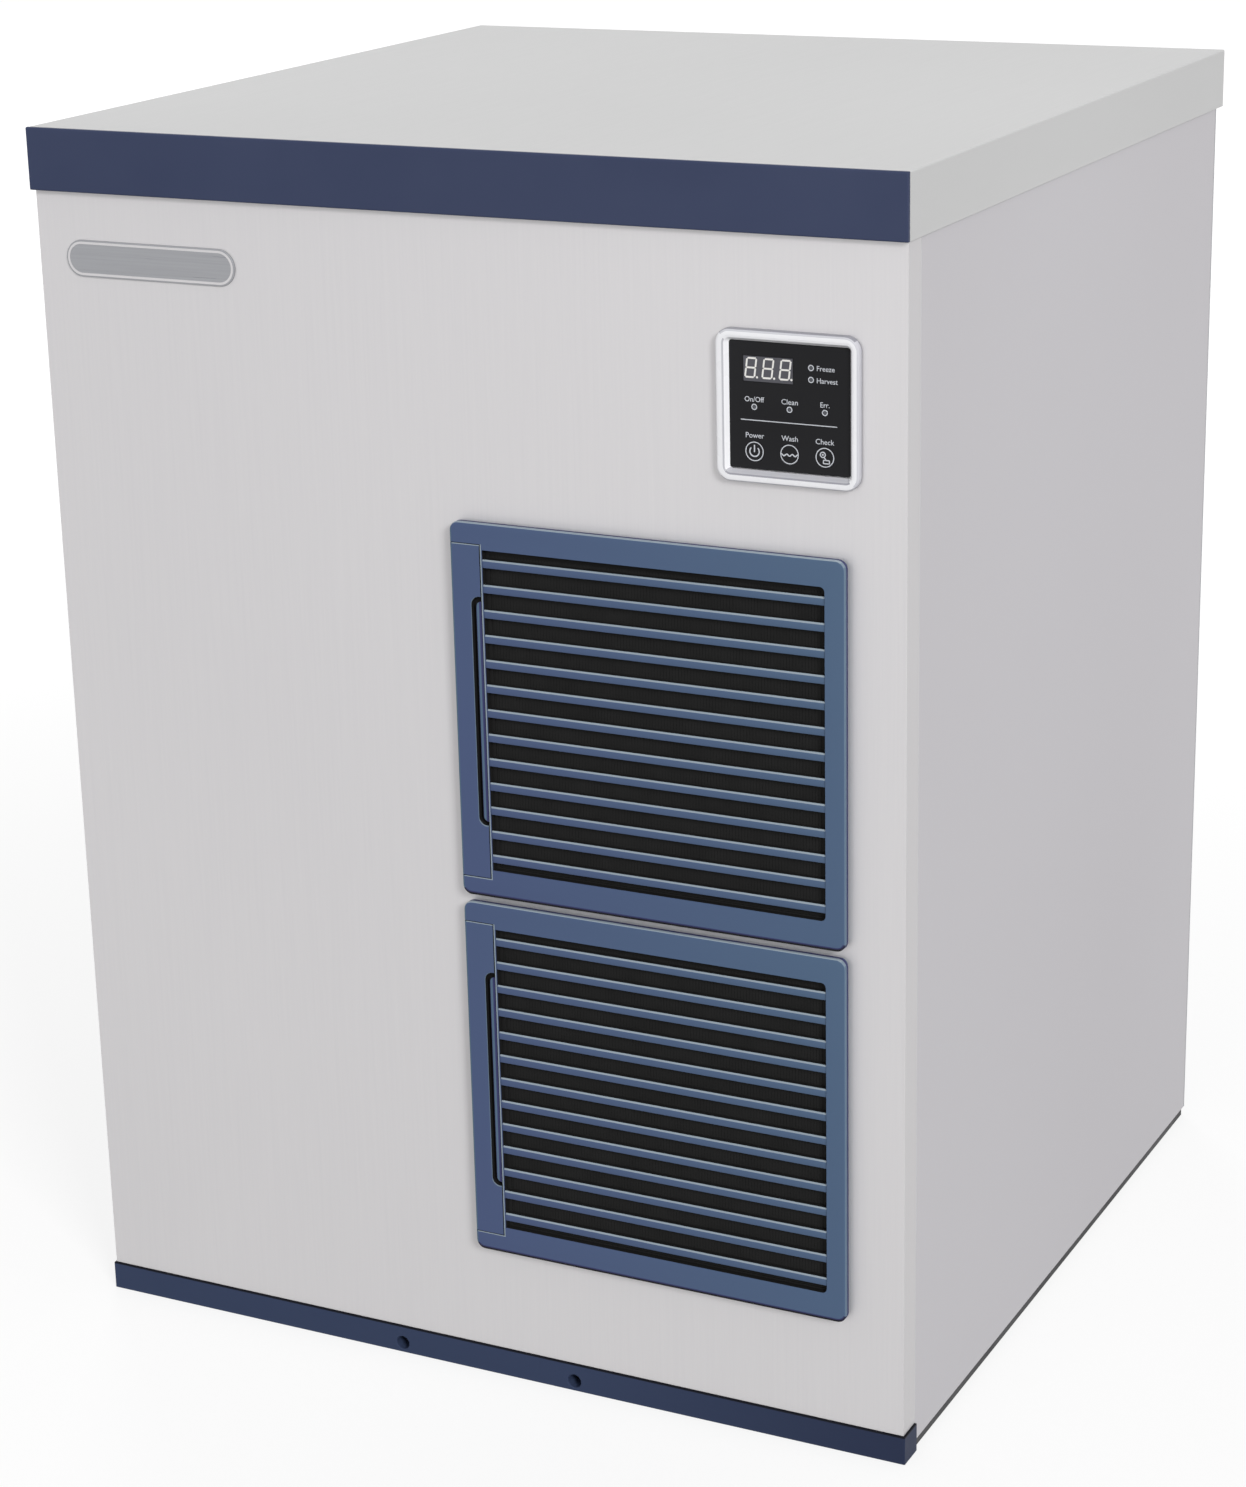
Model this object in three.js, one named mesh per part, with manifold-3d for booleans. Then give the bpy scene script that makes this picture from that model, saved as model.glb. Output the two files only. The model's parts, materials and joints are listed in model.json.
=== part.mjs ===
// Modular ice maker head, air cooled, that stands on an ice bin. Millimetres.
// X to the viewer's right, Y to the back, Z up. The front faces -Y.
import * as THREE from 'three';
import { mergeVertices } from 'three/addons/utils/BufferGeometryUtils.js';
import Module from 'manifold-3d';

const wasm = await Module();
wasm.setup();

// Clearances and sheet that all pieces share
const GAP = 0.3;
const OVERRUN = 5;
const SHEET = 1;
const FRAME_SHEET = 1.5;
const FLANGE = 12;
const MOULD_WALL = 3;

// Sides of round pieces, from a thin pipe to the fan's ring
const PIPE_SIDES = 6;
const STUB_SIDES = 8;
const ROUND_SIDES = 16;
const RING_SIDES = 24;
const HEX = 6;

// Cabinet
const WIDTH = 560;
const DEPTH = 560;
const HEIGHT = 762;
const COVER_RIM = 37;
const COVER_OVERHANG = 11;
const BAND_THICKNESS = 3;
const BAND_CHAMFER = 0.4;
const PANEL_RETURN = 18;
const SIDE_LIFT = 6;
const POST_WIDTH = 15;
const POST_DEPTH = 39;
const MACHINE_BAY = 297.7;
const RAIL_HEIGHT = 25;
const RAIL_DEPTH = 25;

// Base trim and its screws
const TRIM_HEIGHT = 18.2;
const TRIM_FRONT = 3;
const TRIM_SCREW_SPACING = 122;
const TRIM_SCREW_HEIGHT = 6.6;
const TRIM_RECESS_RADIUS = 4.5;
const TRIM_RECESS_DEPTH = 12;
const TRIM_BOSS_RADIUS = 6.5;
const SCREW_RADIUS = 2;
const SCREW_HEAD_RADIUS = 3.9;
const SCREW_HEAD_HEIGHT = 2.6;
const SCREW_LENGTH = 22;
const SCREW_SLOT = 1;

// Base pan and the ice drop opening
const PAN_HEIGHT = 40;
const PAN_FLOOR = 4;
const DROP_FRONT = 60;
const DROP_MARGIN = 15;
const DROP_COLLAR = 28;
const PAN_RIB_HEIGHT = 5;
const PAN_RIBS = 3;

// Grilles and their filter cartridges
const GRILLE_WIDTH = 244.5;
const GRILLE_HEADROOM = 39.8;
const GRILLE_RIGHT_MARGIN = 35.6;
const GRILLE_LOWEST = 89;
const GRILLE_SPACING = 5.5;
const GRILLE_PROUD = 8;
const GRILLE_SHELL = 3.9;
const GRILLE_CORNER = 6;
const GRILLE_BEVEL = 1.2;
const SLAT_PITCH = 15;
const SLAT_HEIGHT = 5.3;
const SLAT_RECESS = 0.6;
const WINDOW_MARGIN = 5;
const WINDOW_RISE = 1.2;
const WINDOW_RIGHT = 11;
const WINDOW_CORNER = 3;
const HANDLE_WIDTH = 18.6;
const HANDLE_MARGIN = 12;
const HANDLE_STRIP = 1.4;
const NOTCH_DEPTH = 6.8;
const NOTCH_END = 32.4;
const NOTCH_GROOVE = 2.6;
const NOTCH_TAB_DROP = 1.2;
const FILTER_RIM = 6;
const FILTER_RIB = 1.6;
const FILTER_COLUMNS = 3;
const FILTER_ROWS = 2;
const FILTER_MESH = 0.6;
const GRILLE_WALL = 6.4;

// Control panel
const BEZEL_SIZE = 84;
const BEZEL_RIGHT_MARGIN = 27.5;
const BEZEL_DROP = 52;
const BEZEL_PROUD = 5;
const BEZEL_CORNER = 8;
const BEZEL_RIM = 6.4;
const BEZEL_BEVEL = 1.4;
const BEZEL_STEP = 3;
const BEZEL_LEDGE = 4;
const BEZEL_NECK_INSET = 4;
const BEZEL_NECK_DEPTH = 12;
const OVERLAY_THICKNESS = 1.6;
const OVERLAY_CORNER = 1.5;
const DISPLAY_WIDTH = 29.1;
const DISPLAY_HEIGHT = 13.9;
const DISPLAY_LEFT = 8.6;
const DISPLAY_TOP = 8.5;
const KEY_RADIUS = 5.5;
const KEY_SPACING = 20.85;
const KEY_RISE = 9.9;
const KEY_STEM_RADIUS = 2;
const KEY_STEM = 7;
const KEY_STROKE = 0.5;
const BOARD_THICKNESS = 1.6;
const SWITCH_SIZE = 6;
const RELAY_SIZE = 14;

// Condenser and fan
const CONDENSER_ROOM = 1;
const CONDENSER_DEPTH = 44;
const CONDENSER_LOWEST = 60;
const CONDENSER_HEADROOM = 35;
const CONDENSER_SIDE = 16;
const CONDENSER_FINS = 20;
const FIN_THICKNESS = 2.4;
const FIN_DEPTH = 14;
const END_PLATE = 2;
const BEND_COUNT = 3;
const BEND_REACH = 8;
const STUB_STEP = 20;
const HEADER_REACH = 6;
const HEADER_SIDE = 7;
const HEADER_BEND = 5.8;
const PIPE_RADIUS = 4.8;
const SHROUD_DEPTH = 22;
const FAN_RADIUS = 105;
const FAN_TIP_GAP = 5;
const FAN_BLADES = 5;
const FAN_WIDTH = 26;
const BLADE_THICKNESS = 2;
const FAN_HUB_RADIUS = 24;
const HUB_LENGTH = 22;
const HUB_SET = 2;
const ROOT_ANGLE = 46;
const TWIST_ANGLE = 24;
const FAN_SHAFT_RADIUS = 4;
const FAN_MOTOR_RADIUS = 42;
const FAN_MOTOR_LENGTH = 52;
const BRACKET_WIDTH = 32;
const BRACKET_SHEET = 2;
const BRACKET_FOOT = 10;
const BRACKET_STAND = 12;

// Compressor
const SHELL_RADIUS = 74;
const SHELL_STRETCH = 1.16;
const SHELL_HEIGHT = 186;
const FOOT_WIDTH = 176;
const FOOT_DEPTH = 132;
const FOOT_SHEET = 3;
const FOOT_BOSS_RADIUS = 9;
const FOOT_BOSS_HEIGHT = 12;
const COMPRESSOR_REAR_ROOM = 24;
const SUCTION_RADIUS = 6.4;
const STUB_LENGTH = 12;
const COVER_DEPTH = 26;
const COVER_HEIGHT = 62;
const COVER_WIDTH = 56;
const SEAM_SHARE = 1.04;

// Refrigeration pipes and valves
const LIQUID_RADIUS = 3.2;
const PIPE_BEND = 14;
const PIPE_RUN = 30;
const HOT_GAS_RISE = 45;
const DRIER_SET = 10;
const PIPE_OFFSET = 30;
const VALVE_OFFSET = 16;
const DRIER_RADIUS = 13;
const DRIER_LENGTH = 110;
const DRIER_NECK = 4.2;
const VALVE_LENGTH = 28;
const TEE_REACH = 18;
const SOLENOID_WIDTH = 32;
const SOLENOID_HEIGHT = 38;
const GROMMET_ROOM = 2;

// Evaporator, distributor and curtain
const EVAPORATOR_REAR_ROOM = 296.7;
const CELL_PITCH = 28;
const CELL_WALL = 1.4;
const CELL_DEPTH = 17;
const CELL_FALL = 3;
const CELL_DRAFT = 1.2;
const EVAPORATOR_BACK = 2;
const EVAPORATOR_LOWEST = 330;
const EVAPORATOR_HEADROOM = 112;
const BAY_MARGIN = 20;
const COIL_RUNS = 6;
const CHEEK_FRONT = 40;
const CHEEK_BACK = 24;
const CHEEK_RISE = 44;
const DISTRIBUTOR_HEIGHT = 28;
const DISTRIBUTOR_DEPTH = 26;
const DISTRIBUTOR_HOLES = 6;
const CURTAIN_SHEET = 2;
const CURTAIN_SET = 28;
const CURTAIN_KNUCKLE = 5;
const CURTAIN_PIN = 3;
const CURTAIN_SIDE_GAP = 1.2;
const CURTAIN_TUCK = 8;
const CURTAIN_BEND = 14;
const LEDGE_WIDTH = 8;
const COIL_STUB = 9;

// Trough, pump and float
const TROUGH_HEIGHT = 85;
const TROUGH_DROP = 45;
const TROUGH_BACK = 180;
const TROUGH_SET = 18;
const TROUGH_SLOPE = 28;
const SPIGOT_RADIUS = 8;
const SPIGOT_BORE = 5.5;
const SPIGOT_LENGTH = 14;
const PUMP_SET = 122;
const PLATE_FRONT = 64;
const PLATE_BACK = 38;
const FILL_MARGIN = 25;
const DRAIN_MARGIN = 25;
const PUMP_MOTOR_RADIUS = 34;
const PUMP_MOTOR_HEIGHT = 62;
const PUMP_STEM_RADIUS = 14;
const PUMP_SHAFT_RADIUS = 3;
const VOLUTE_RADIUS = 26;
const VOLUTE_HEIGHT = 24;
const VOLUTE_LIFT = 12;
const OUTLET_LENGTH = 4;
const IMPELLER_RADIUS = 19;
const IMPELLER_HEIGHT = 12;
const IMPELLER_ROOM = 2;
const IMPELLER_VANES = 5;
const TUBE_RADIUS = 6.5;
const TUBE_BEND = 14;
const SHAFT_ROOM = 1.5;
const TUBE_SET = 45.5;
const FLOAT_STEM_RADIUS = 4;
const FLOAT_RADIUS = 13;
const FLOAT_HEIGHT = 22;
const FLOAT_SET = 48;
const FLOAT_CLIP = 3;
const FLOAT_LIFT = 6;

// Rear services
const LOUVRE_COLUMNS = 2;
const LOUVRE_ROWS = 7;
const LOUVRE_WIDTH = 100;
const LOUVRE_PITCH = 36;
const LOUVRE_GUTTER = 14;
const LOUVRE_SLOT = 8;
const LOUVRE_DEPTH = 5;
const LOUVRE_LOWEST = 260;
const THREAD_RADIUS = 10;
const THREAD_LENGTH = 9;
const VALVE_SIZE = 34;
const VALVE_RISE = 45;
const DRAIN_HEIGHT = 80;
const GLAND_RADIUS = 14;
const GLAND_HEIGHT = 120;
const GLAND_SIDE = 60;

// Electrical box
const BOX_SETBACK = 56;
const BOX_DEPTH = 115;
const BOX_HEIGHT = 130;
const BOX_TOP_ROOM = 26;
const BOX_SIDE_ROOM = 38;

// Places that several pieces share
const panelFace = BAND_THICKNESS + SHEET + GAP;
const panelInside = panelFace + SHEET;
const returnEnd = panelFace + PANEL_RETURN;
const sideStart = returnEnd + GAP;
const bodyHalf = WIDTH / 2 - SHEET - GAP;
const wallInside = bodyHalf - SHEET;
const rearFace = DEPTH - COVER_OVERHANG;
const rearInside = rearFace - SHEET;
const rimBottom = HEIGHT - COVER_RIM;
const bodyTop = HEIGHT - SHEET - GAP;
const trimTop = TRIM_HEIGHT;
const panFront = sideStart + SHEET + GAP;
const panBack = rearInside - GAP - SHEET - GAP;
const panHalf = wallInside - GAP;
const postOuter = bodyHalf - FLANGE - GAP;
const postFront = panelInside + GAP;
const postBack = postFront + POST_DEPTH;
const frameTop = bodyTop - SHEET - GAP;
const bulkheadRight = wallInside - MACHINE_BAY;
const bulkheadLeft = bulkheadRight - FRAME_SHEET;
const bulkheadFront = postBack + GAP;
const bayCentre = (bulkheadLeft - wallInside) / 2;
const machineCentre = (bulkheadRight + wallInside) / 2;

const grilleRight = WIDTH / 2 - GRILLE_RIGHT_MARGIN;
const grilleLeft = grilleRight - GRILLE_WIDTH;
const grilleFront = panelFace - GRILLE_PROUD;
const grilleBack = panelFace - GAP;
const shellBack = grilleFront + GRILLE_SHELL;
const bezelBottom = rimBottom - BEZEL_DROP - BEZEL_SIZE;
const grilleHeight = (bezelBottom - GRILLE_HEADROOM - GRILLE_LOWEST - GRILLE_SPACING) / 2;
const grilleCentres = [0, 1].map((i) => (
  GRILLE_LOWEST + grilleHeight / 2 + i * (grilleHeight + GRILLE_SPACING)));
const windowLeft = grilleLeft + HANDLE_WIDTH + HANDLE_STRIP;
const windowRight = grilleRight - WINDOW_RIGHT;
const handleHeight = grilleHeight - 2 * HANDLE_MARGIN;
const notchLength = handleHeight - 2 * NOTCH_END;
const slatRoom = handleHeight - SLAT_HEIGHT - 2 * WINDOW_MARGIN - 2 * WINDOW_RISE;
const slatCount = 1 + Math.floor(slatRoom / SLAT_PITCH);
const windowHeight = (slatCount - 1) * SLAT_PITCH + SLAT_HEIGHT + 2 * WINDOW_MARGIN;
const filterRight = grilleRight - GRILLE_WALL;

const bezelRight = WIDTH / 2 - BEZEL_RIGHT_MARGIN;
const bezelX = bezelRight - BEZEL_SIZE / 2;
const bezelZ = bezelBottom + BEZEL_SIZE / 2;
const bezelFront = panelFace - BEZEL_PROUD;
const overlayFront = bezelFront + BEZEL_STEP;
const overlayBack = overlayFront + OVERLAY_THICKNESS;
const overlaySize = BEZEL_SIZE - 2 * BEZEL_RIM;
const neckSize = BEZEL_SIZE - 2 * BEZEL_NECK_INSET;
const neckBack = panelFace + BEZEL_NECK_DEPTH;
const boardFront = neckBack + GAP;
const keyZ = bezelZ - overlaySize / 2 + KEY_RISE;
const keyXs = [-1, 0, 1].map((i) => bezelX + i * KEY_SPACING);
const keyStemEnd = overlayFront + KEY_STEM;
const displayLeft = bezelX - overlaySize / 2 + DISPLAY_LEFT;
const displayTop = bezelZ + overlaySize / 2 - DISPLAY_TOP;

const condenserFront = postBack + CONDENSER_ROOM;
const condenserBack = condenserFront + CONDENSER_DEPTH;
const boxTop = HEIGHT - BOX_TOP_ROOM;
const boxBottom = boxTop - BOX_HEIGHT;
const condenserTop = boxBottom - CONDENSER_HEADROOM;
const condenserLeft = bulkheadRight + CONDENSER_SIDE;
const condenserRight = wallInside - CONDENSER_SIDE - POST_WIDTH / 2;
const fanX = (condenserLeft + condenserRight) / 2;
const fanZ = (CONDENSER_LOWEST + condenserTop) / 2;
const shroudBack = condenserBack + GAP + SHROUD_DEPTH;
const ringRadius = FAN_RADIUS + FAN_TIP_GAP;
const ringBack = shroudBack + FAN_WIDTH;
const bladeFront = shroudBack + HUB_SET;
const bracketBack = ringBack + BRACKET_STAND;
const headerX = condenserLeft - HEADER_SIDE;
const headerEnd = condenserBack + HEADER_REACH;
const compressorY = rearInside - COMPRESSOR_REAR_ROOM - SHELL_RADIUS * SHELL_STRETCH;

const evaporatorFront = rearInside - EVAPORATOR_REAR_ROOM;
const evaporatorBack = evaporatorFront + CELL_DEPTH + EVAPORATOR_BACK;
const cellColumns = Math.floor((bulkheadLeft + wallInside - 2 * BAY_MARGIN) / CELL_PITCH);
const cellRows = Math.floor((HEIGHT - EVAPORATOR_HEADROOM - EVAPORATOR_LOWEST) / CELL_PITCH);
const gridWidth = cellColumns * CELL_PITCH + CELL_WALL;
const evaporatorBottom = EVAPORATOR_LOWEST;
const evaporatorTop = evaporatorBottom + cellRows * CELL_PITCH + CELL_WALL;
const coilY = evaporatorBack + GAP + PIPE_RADIUS;
const coilHeights = Array.from({ length: COIL_RUNS }, (_, i) => (
  evaporatorBottom + (evaporatorTop - evaporatorBottom) * (i + 0.5) / COIL_RUNS));
const coilBottom = coilHeights[0];
const coilTop = coilHeights[COIL_RUNS - 1];
const coilEnd = bulkheadRight + COIL_STUB;
const pivotY = evaporatorFront - CURTAIN_SET;
const pivotZ = evaporatorTop + CHEEK_RISE - CURTAIN_SET / 2;
const distributorBottom = evaporatorTop + MOULD_WALL;
const distributorZ = distributorBottom + DISTRIBUTOR_HEIGHT / 2;

const troughTop = evaporatorBottom - TROUGH_DROP;
const troughBottom = troughTop - TROUGH_HEIGHT;
const troughBack = evaporatorFront + TROUGH_BACK;
const pumpY = evaporatorFront + PUMP_SET;
const plateTop = troughTop + GAP + MOULD_WALL;
const voluteBottom = troughBottom + MOULD_WALL + VOLUTE_LIFT;
const voluteTop = voluteBottom + VOLUTE_HEIGHT;
const spigotZ = (voluteBottom + voluteTop) / 2;
const spigotEnd = pumpY + VOLUTE_RADIUS + OUTLET_LENGTH;
const tubeY = pumpY + TUBE_SET;
const floatY = pumpY - FLOAT_SET;
const clipBottom = troughBottom + MOULD_WALL + FLOAT_LIFT;
const drainX = bayCentre - gridWidth / 2 + DRAIN_MARGIN;
const drainY = troughBack - 2 * TUBE_BEND;
const inletX = bayCentre + gridWidth / 2 - FILL_MARGIN;
const inletZ = troughTop + VALVE_RISE;
const glandX = wallInside - GLAND_SIDE;
const bendHeights = Array.from({ length: BEND_COUNT }, (_, i) => (
  CONDENSER_LOWEST + (condenserTop - CONDENSER_LOWEST) * (i + 0.5) / BEND_COUNT));

// Cutting, joining and the basic solids
const toSolid = (geometry) => {
  const bare = geometry.clone();
  bare.deleteAttribute('normal');
  bare.deleteAttribute('uv');
  const merged = mergeVertices(bare);
  return new wasm.Manifold(new wasm.Mesh({
    numProp: 3,
    vertProperties: Float32Array.from(merged.attributes.position.array),
    triVerts: Uint32Array.from(merged.index.array),
  }));
};

const toGeometry = (solid) => {
  const mesh = solid.getMesh();
  const geometry = new THREE.BufferGeometry();
  geometry.setAttribute('position', new THREE.BufferAttribute(mesh.vertProperties, 3));
  geometry.setIndex(new THREE.BufferAttribute(mesh.triVerts, 1));
  return geometry;
};

const cut = (base, ...tools) => (
  toGeometry(tools.reduce((solid, tool) => solid.subtract(toSolid(tool)), toSolid(base))));

const join = (...parts) => (
  toGeometry(parts.slice(1).reduce((solid, part) => solid.add(toSolid(part)), toSolid(parts[0]))));

const block = ([x0, x1], [y0, y1], [z0, z1]) => (
  new THREE.BoxGeometry(x1 - x0, y1 - y0, z1 - z0)
    .translate((x0 + x1) / 2, (y0 + y1) / 2, (z0 + z1) / 2));

const spread = (centre, size) => [centre - size / 2, centre + size / 2];

// A round bar along one axis; at holds the middle of its start
const rod = (axis, radius, at, length, sides = 10) => {
  const bar = new THREE.CylinderGeometry(radius, radius, length, sides);
  bar.translate(0, length / 2, 0);
  if (axis === 'x') bar.rotateZ(-Math.PI / 2);
  if (axis === 'z') bar.rotateX(Math.PI / 2);
  return bar.translate(...at);
};

const stub = (axis, radius, at, length) => rod(axis, radius, at, length, STUB_SIDES);

// A turned piece about Z; the profile lists radius and height
const turned = (profile, at, sides = 14) => (
  new THREE.LatheGeometry(profile.map(([r, h]) => new THREE.Vector2(r, h)), sides)
    .rotateX(Math.PI / 2)
    .translate(...at));

const outline = (points) => new THREE.Shape(points.map(([u, v]) => new THREE.Vector2(u, v)));

const rounded = ([x0, x1], [y0, y1], radius) => {
  const shape = new THREE.Shape();
  shape.moveTo(x0 + radius, y0);
  shape.lineTo(x1 - radius, y0);
  shape.absarc(x1 - radius, y0 + radius, radius, -Math.PI / 2, 0);
  shape.lineTo(x1, y1 - radius);
  shape.absarc(x1 - radius, y1 - radius, radius, 0, Math.PI / 2);
  shape.lineTo(x0 + radius, y1);
  shape.absarc(x0 + radius, y1 - radius, radius, Math.PI / 2, Math.PI);
  shape.lineTo(x0, y0 + radius);
  shape.absarc(x0 + radius, y0 + radius, radius, Math.PI, Math.PI * 1.5);
  return shape;
};

// Extrusions: a front outline in X and Z, a side outline in Y and Z, a plan outline in X and Y
const extrude = (shape, depth, curveSegments, bevel = 0) => (
  new THREE.ExtrudeGeometry(shape, {
    depth: depth - 2 * bevel,
    curveSegments,
    bevelEnabled: bevel > 0,
    bevelSize: bevel,
    bevelThickness: bevel,
    bevelOffset: -bevel,
    bevelSegments: 1,
  }).translate(0, 0, bevel));

const frontPlate = (shape, [y0, y1], curveSegments = 4, bevel = 0) => (
  extrude(shape, y1 - y0, curveSegments, bevel).rotateX(Math.PI / 2).translate(0, y1, 0));

const sidePlate = (shape, [x0, x1], curveSegments = 4) => (
  extrude(shape, x1 - x0, curveSegments)
    .applyMatrix4(new THREE.Matrix4().makeBasis(
      new THREE.Vector3(0, 1, 0), new THREE.Vector3(0, 0, 1), new THREE.Vector3(1, 0, 0)))
    .translate(x0, 0, 0));

const planPlate = (shape, [z0, z1], curveSegments = 4) => (
  extrude(shape, z1 - z0, curveSegments).translate(0, 0, z0));

// A pipe's route: straight runs with round bends, stepped only where it bends
class Route extends THREE.Curve {
  constructor(points, bend, stepsPerBend) {
    super();
    const path = points.map((p) => new THREE.Vector3(...p));
    this.stations = [{ at: path[0], along: path[1].clone().sub(path[0]).normalize() }];
    for (let i = 1; i < path.length - 1; i += 1) {
      const arriving = path[i].clone().sub(path[i - 1]).normalize();
      const leaving = path[i + 1].clone().sub(path[i]).normalize();
      const angle = arriving.angleTo(leaving);
      const reach = bend * Math.tan(angle / 2);
      const start = path[i].clone().addScaledVector(arriving, -reach);
      const inward = leaving.clone().addScaledVector(arriving, -leaving.dot(arriving)).normalize();
      const centre = start.clone().addScaledVector(inward, bend);
      for (let k = 0; k <= stepsPerBend; k += 1) {
        const turn = angle * k / stepsPerBend;
        const at = centre.clone()
          .addScaledVector(inward, -bend * Math.cos(turn))
          .addScaledVector(arriving, bend * Math.sin(turn));
        const along = arriving.clone().multiplyScalar(Math.cos(turn))
          .addScaledVector(inward, Math.sin(turn));
        this.stations.push({ at, along });
      }
    }
    const last = path.length - 1;
    this.stations.push({ at: path[last], along: path[last].clone().sub(path[last - 1]).normalize() });
    this.steps = this.stations.length - 1;
  }

  getPointAt(u) {
    return this.stations[Math.round(u * this.steps)].at.clone();
  }

  getTangentAt(u) {
    return this.stations[Math.round(u * this.steps)].along.clone();
  }
}

const pipe = (points, radius, bend, sides = PIPE_SIDES, stepsPerBend = 3) => {
  const route = new Route(points, bend, stepsPerBend);
  const section = outline(Array.from({ length: sides }, (_, i) => (
    [radius * Math.cos(2 * Math.PI * i / sides), radius * Math.sin(2 * Math.PI * i / sides)])));
  return new THREE.ExtrudeGeometry(section, {
    steps: route.steps, extrudePath: route, bevelEnabled: false,
  });
};

// A closed skin through rings that have the same number of points
const loft = (rings) => {
  const count = rings[0].length;
  const corners = rings.flat().map((p) => p.toArray()).flat();
  const faces = [];
  for (let r = 0; r < rings.length - 1; r += 1) {
    for (let i = 0; i < count; i += 1) {
      const next = (i + 1) % count;
      const [a, b] = [r * count + i, r * count + next];
      faces.push(a, b, b + count, a, b + count, a + count);
    }
  }
  const last = (rings.length - 1) * count;
  for (let i = 1; i < count - 1; i += 1) {
    faces.push(0, i + 1, i, last, last + i, last + i + 1);
  }
  const geometry = new THREE.BufferGeometry();
  geometry.setAttribute('position', new THREE.Float32BufferAttribute(corners, 3));
  geometry.setIndex(faces);
  return geometry;
};

// Finishes
const finish = (color, roughness, metalness) => (
  new THREE.MeshStandardMaterial({ color, roughness, metalness }));
const STAINLESS = ['#cbc9cc', 0.35, 0.9];
const GALVANISED = ['#a9adb0', 0.5, 0.8];
const NAVY = ['#3e455d', 0.45, 0];
const SLATE_BLUE = ['#4a5f86', 0.4, 0];
const BLACK = ['#1e1e1f', 0.35, 0];
const SILVER = ['#e3e4e6', 0.3, 0.4];
const COPPER = ['#b5704a', 0.3, 0.95];
const BRASS = ['#b79a55', 0.3, 0.9];
const WHITE = ['#e8e9ea', 0.5, 0];
const ENAMEL = ['#1b1c1f', 0.4, 0.2];
const ALUMINIUM = ['#c3c6c9', 0.4, 0.9];
const BOARD_GREEN = ['#2c6b45', 0.5, 0];
const CLEAR = ['#b9c4cc', 0.15, 0];

const iceMaker = new THREE.Group();
const add = (name, geometry, look) => {
  const mesh = new THREE.Mesh(geometry, finish(...look));
  mesh.name = name;
  iceMaker.add(mesh);
};

// Cabinet: folded sheet pans, each with its flanges turned inward
const topCover = () => cut(
  block([-WIDTH / 2, WIDTH / 2], [BAND_THICKNESS, DEPTH], [rimBottom, HEIGHT]),
  block(
    [-WIDTH / 2 + SHEET, WIDTH / 2 - SHEET],
    [BAND_THICKNESS + SHEET, DEPTH - SHEET],
    [rimBottom - OVERRUN, HEIGHT - SHEET]),
);

const frontBand = () => sidePlate(outline([
  [0, rimBottom + BAND_CHAMFER],
  [BAND_CHAMFER, rimBottom],
  [BAND_THICKNESS, rimBottom],
  [BAND_THICKNESS, HEIGHT],
  [BAND_CHAMFER, HEIGHT],
  [0, HEIGHT - BAND_CHAMFER],
]), [-WIDTH / 2, WIDTH / 2]);

const frontPanel = () => cut(
  block([-bodyHalf, bodyHalf], [panelFace, returnEnd], [trimTop + GAP, bodyTop]),
  block(
    [-wallInside, wallInside],
    [panelInside, returnEnd + OVERRUN],
    [trimTop + GAP + SHEET, bodyTop - SHEET]),
  ...grilleCentres.map((z) => block(
    [windowLeft + FILTER_RIM, filterRight - FILTER_RIM],
    [panelFace - OVERRUN, panelInside + OVERRUN],
    spread(z, handleHeight - 2 * FILTER_RIM))),
  frontPlate(
    rounded(spread(bezelX, neckSize + 2 * GAP), spread(bezelZ, neckSize + 2 * GAP), BEZEL_CORNER / 2),
    [panelFace - OVERRUN, panelInside + OVERRUN]),
);

const sidePanel = (side) => {
  const across = (near, far) => (side > 0 ? [near, far] : [-far, -near]);
  return cut(
    block(
      across(bodyHalf - FLANGE, bodyHalf),
      [sideStart, rearInside - GAP],
      [SIDE_LIFT, bodyTop]),
    block(
      across(bodyHalf - FLANGE - OVERRUN, wallInside),
      [sideStart + SHEET, rearInside - GAP - SHEET],
      [SIDE_LIFT - OVERRUN, bodyTop - SHEET]),
  );
};

// A pressed louvre: its slot, and a hood that opens downward
const louvreSlot = (x, z) => block(
  spread(x, LOUVRE_WIDTH - 2 * SHEET),
  [rearInside - OVERRUN, rearFace + SHEET],
  spread(z, LOUVRE_SLOT));

const louvreHood = (x, z) => {
  const top = z + LOUVRE_SLOT;
  const bottom = z - LOUVRE_SLOT / 2;
  const skin = rearFace - SHEET / 2;
  const hood = sidePlate(
    outline([[skin, bottom], [rearFace + LOUVRE_DEPTH, bottom], [skin, top]]),
    spread(x, LOUVRE_WIDTH));
  const hollow = sidePlate(
    outline([
      [skin - OVERRUN, bottom - OVERRUN],
      [rearFace + LOUVRE_DEPTH - SHEET, bottom - OVERRUN],
      [rearFace + LOUVRE_DEPTH - SHEET, bottom + SHEET],
      [skin, top - 2 * SHEET],
      [skin - OVERRUN, top - 2 * SHEET],
    ]),
    spread(x, LOUVRE_WIDTH - 2 * SHEET));
  return cut(hood, hollow);
};

const louvrePlaces = () => {
  const places = [];
  for (let column = 0; column < LOUVRE_COLUMNS; column += 1) {
    const x = machineCentre + (column - (LOUVRE_COLUMNS - 1) / 2) * (LOUVRE_WIDTH + LOUVRE_GUTTER);
    for (let row = 0; row < LOUVRE_ROWS; row += 1) {
      places.push([x, LOUVRE_LOWEST + row * LOUVRE_PITCH]);
    }
  }
  return places;
};

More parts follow.
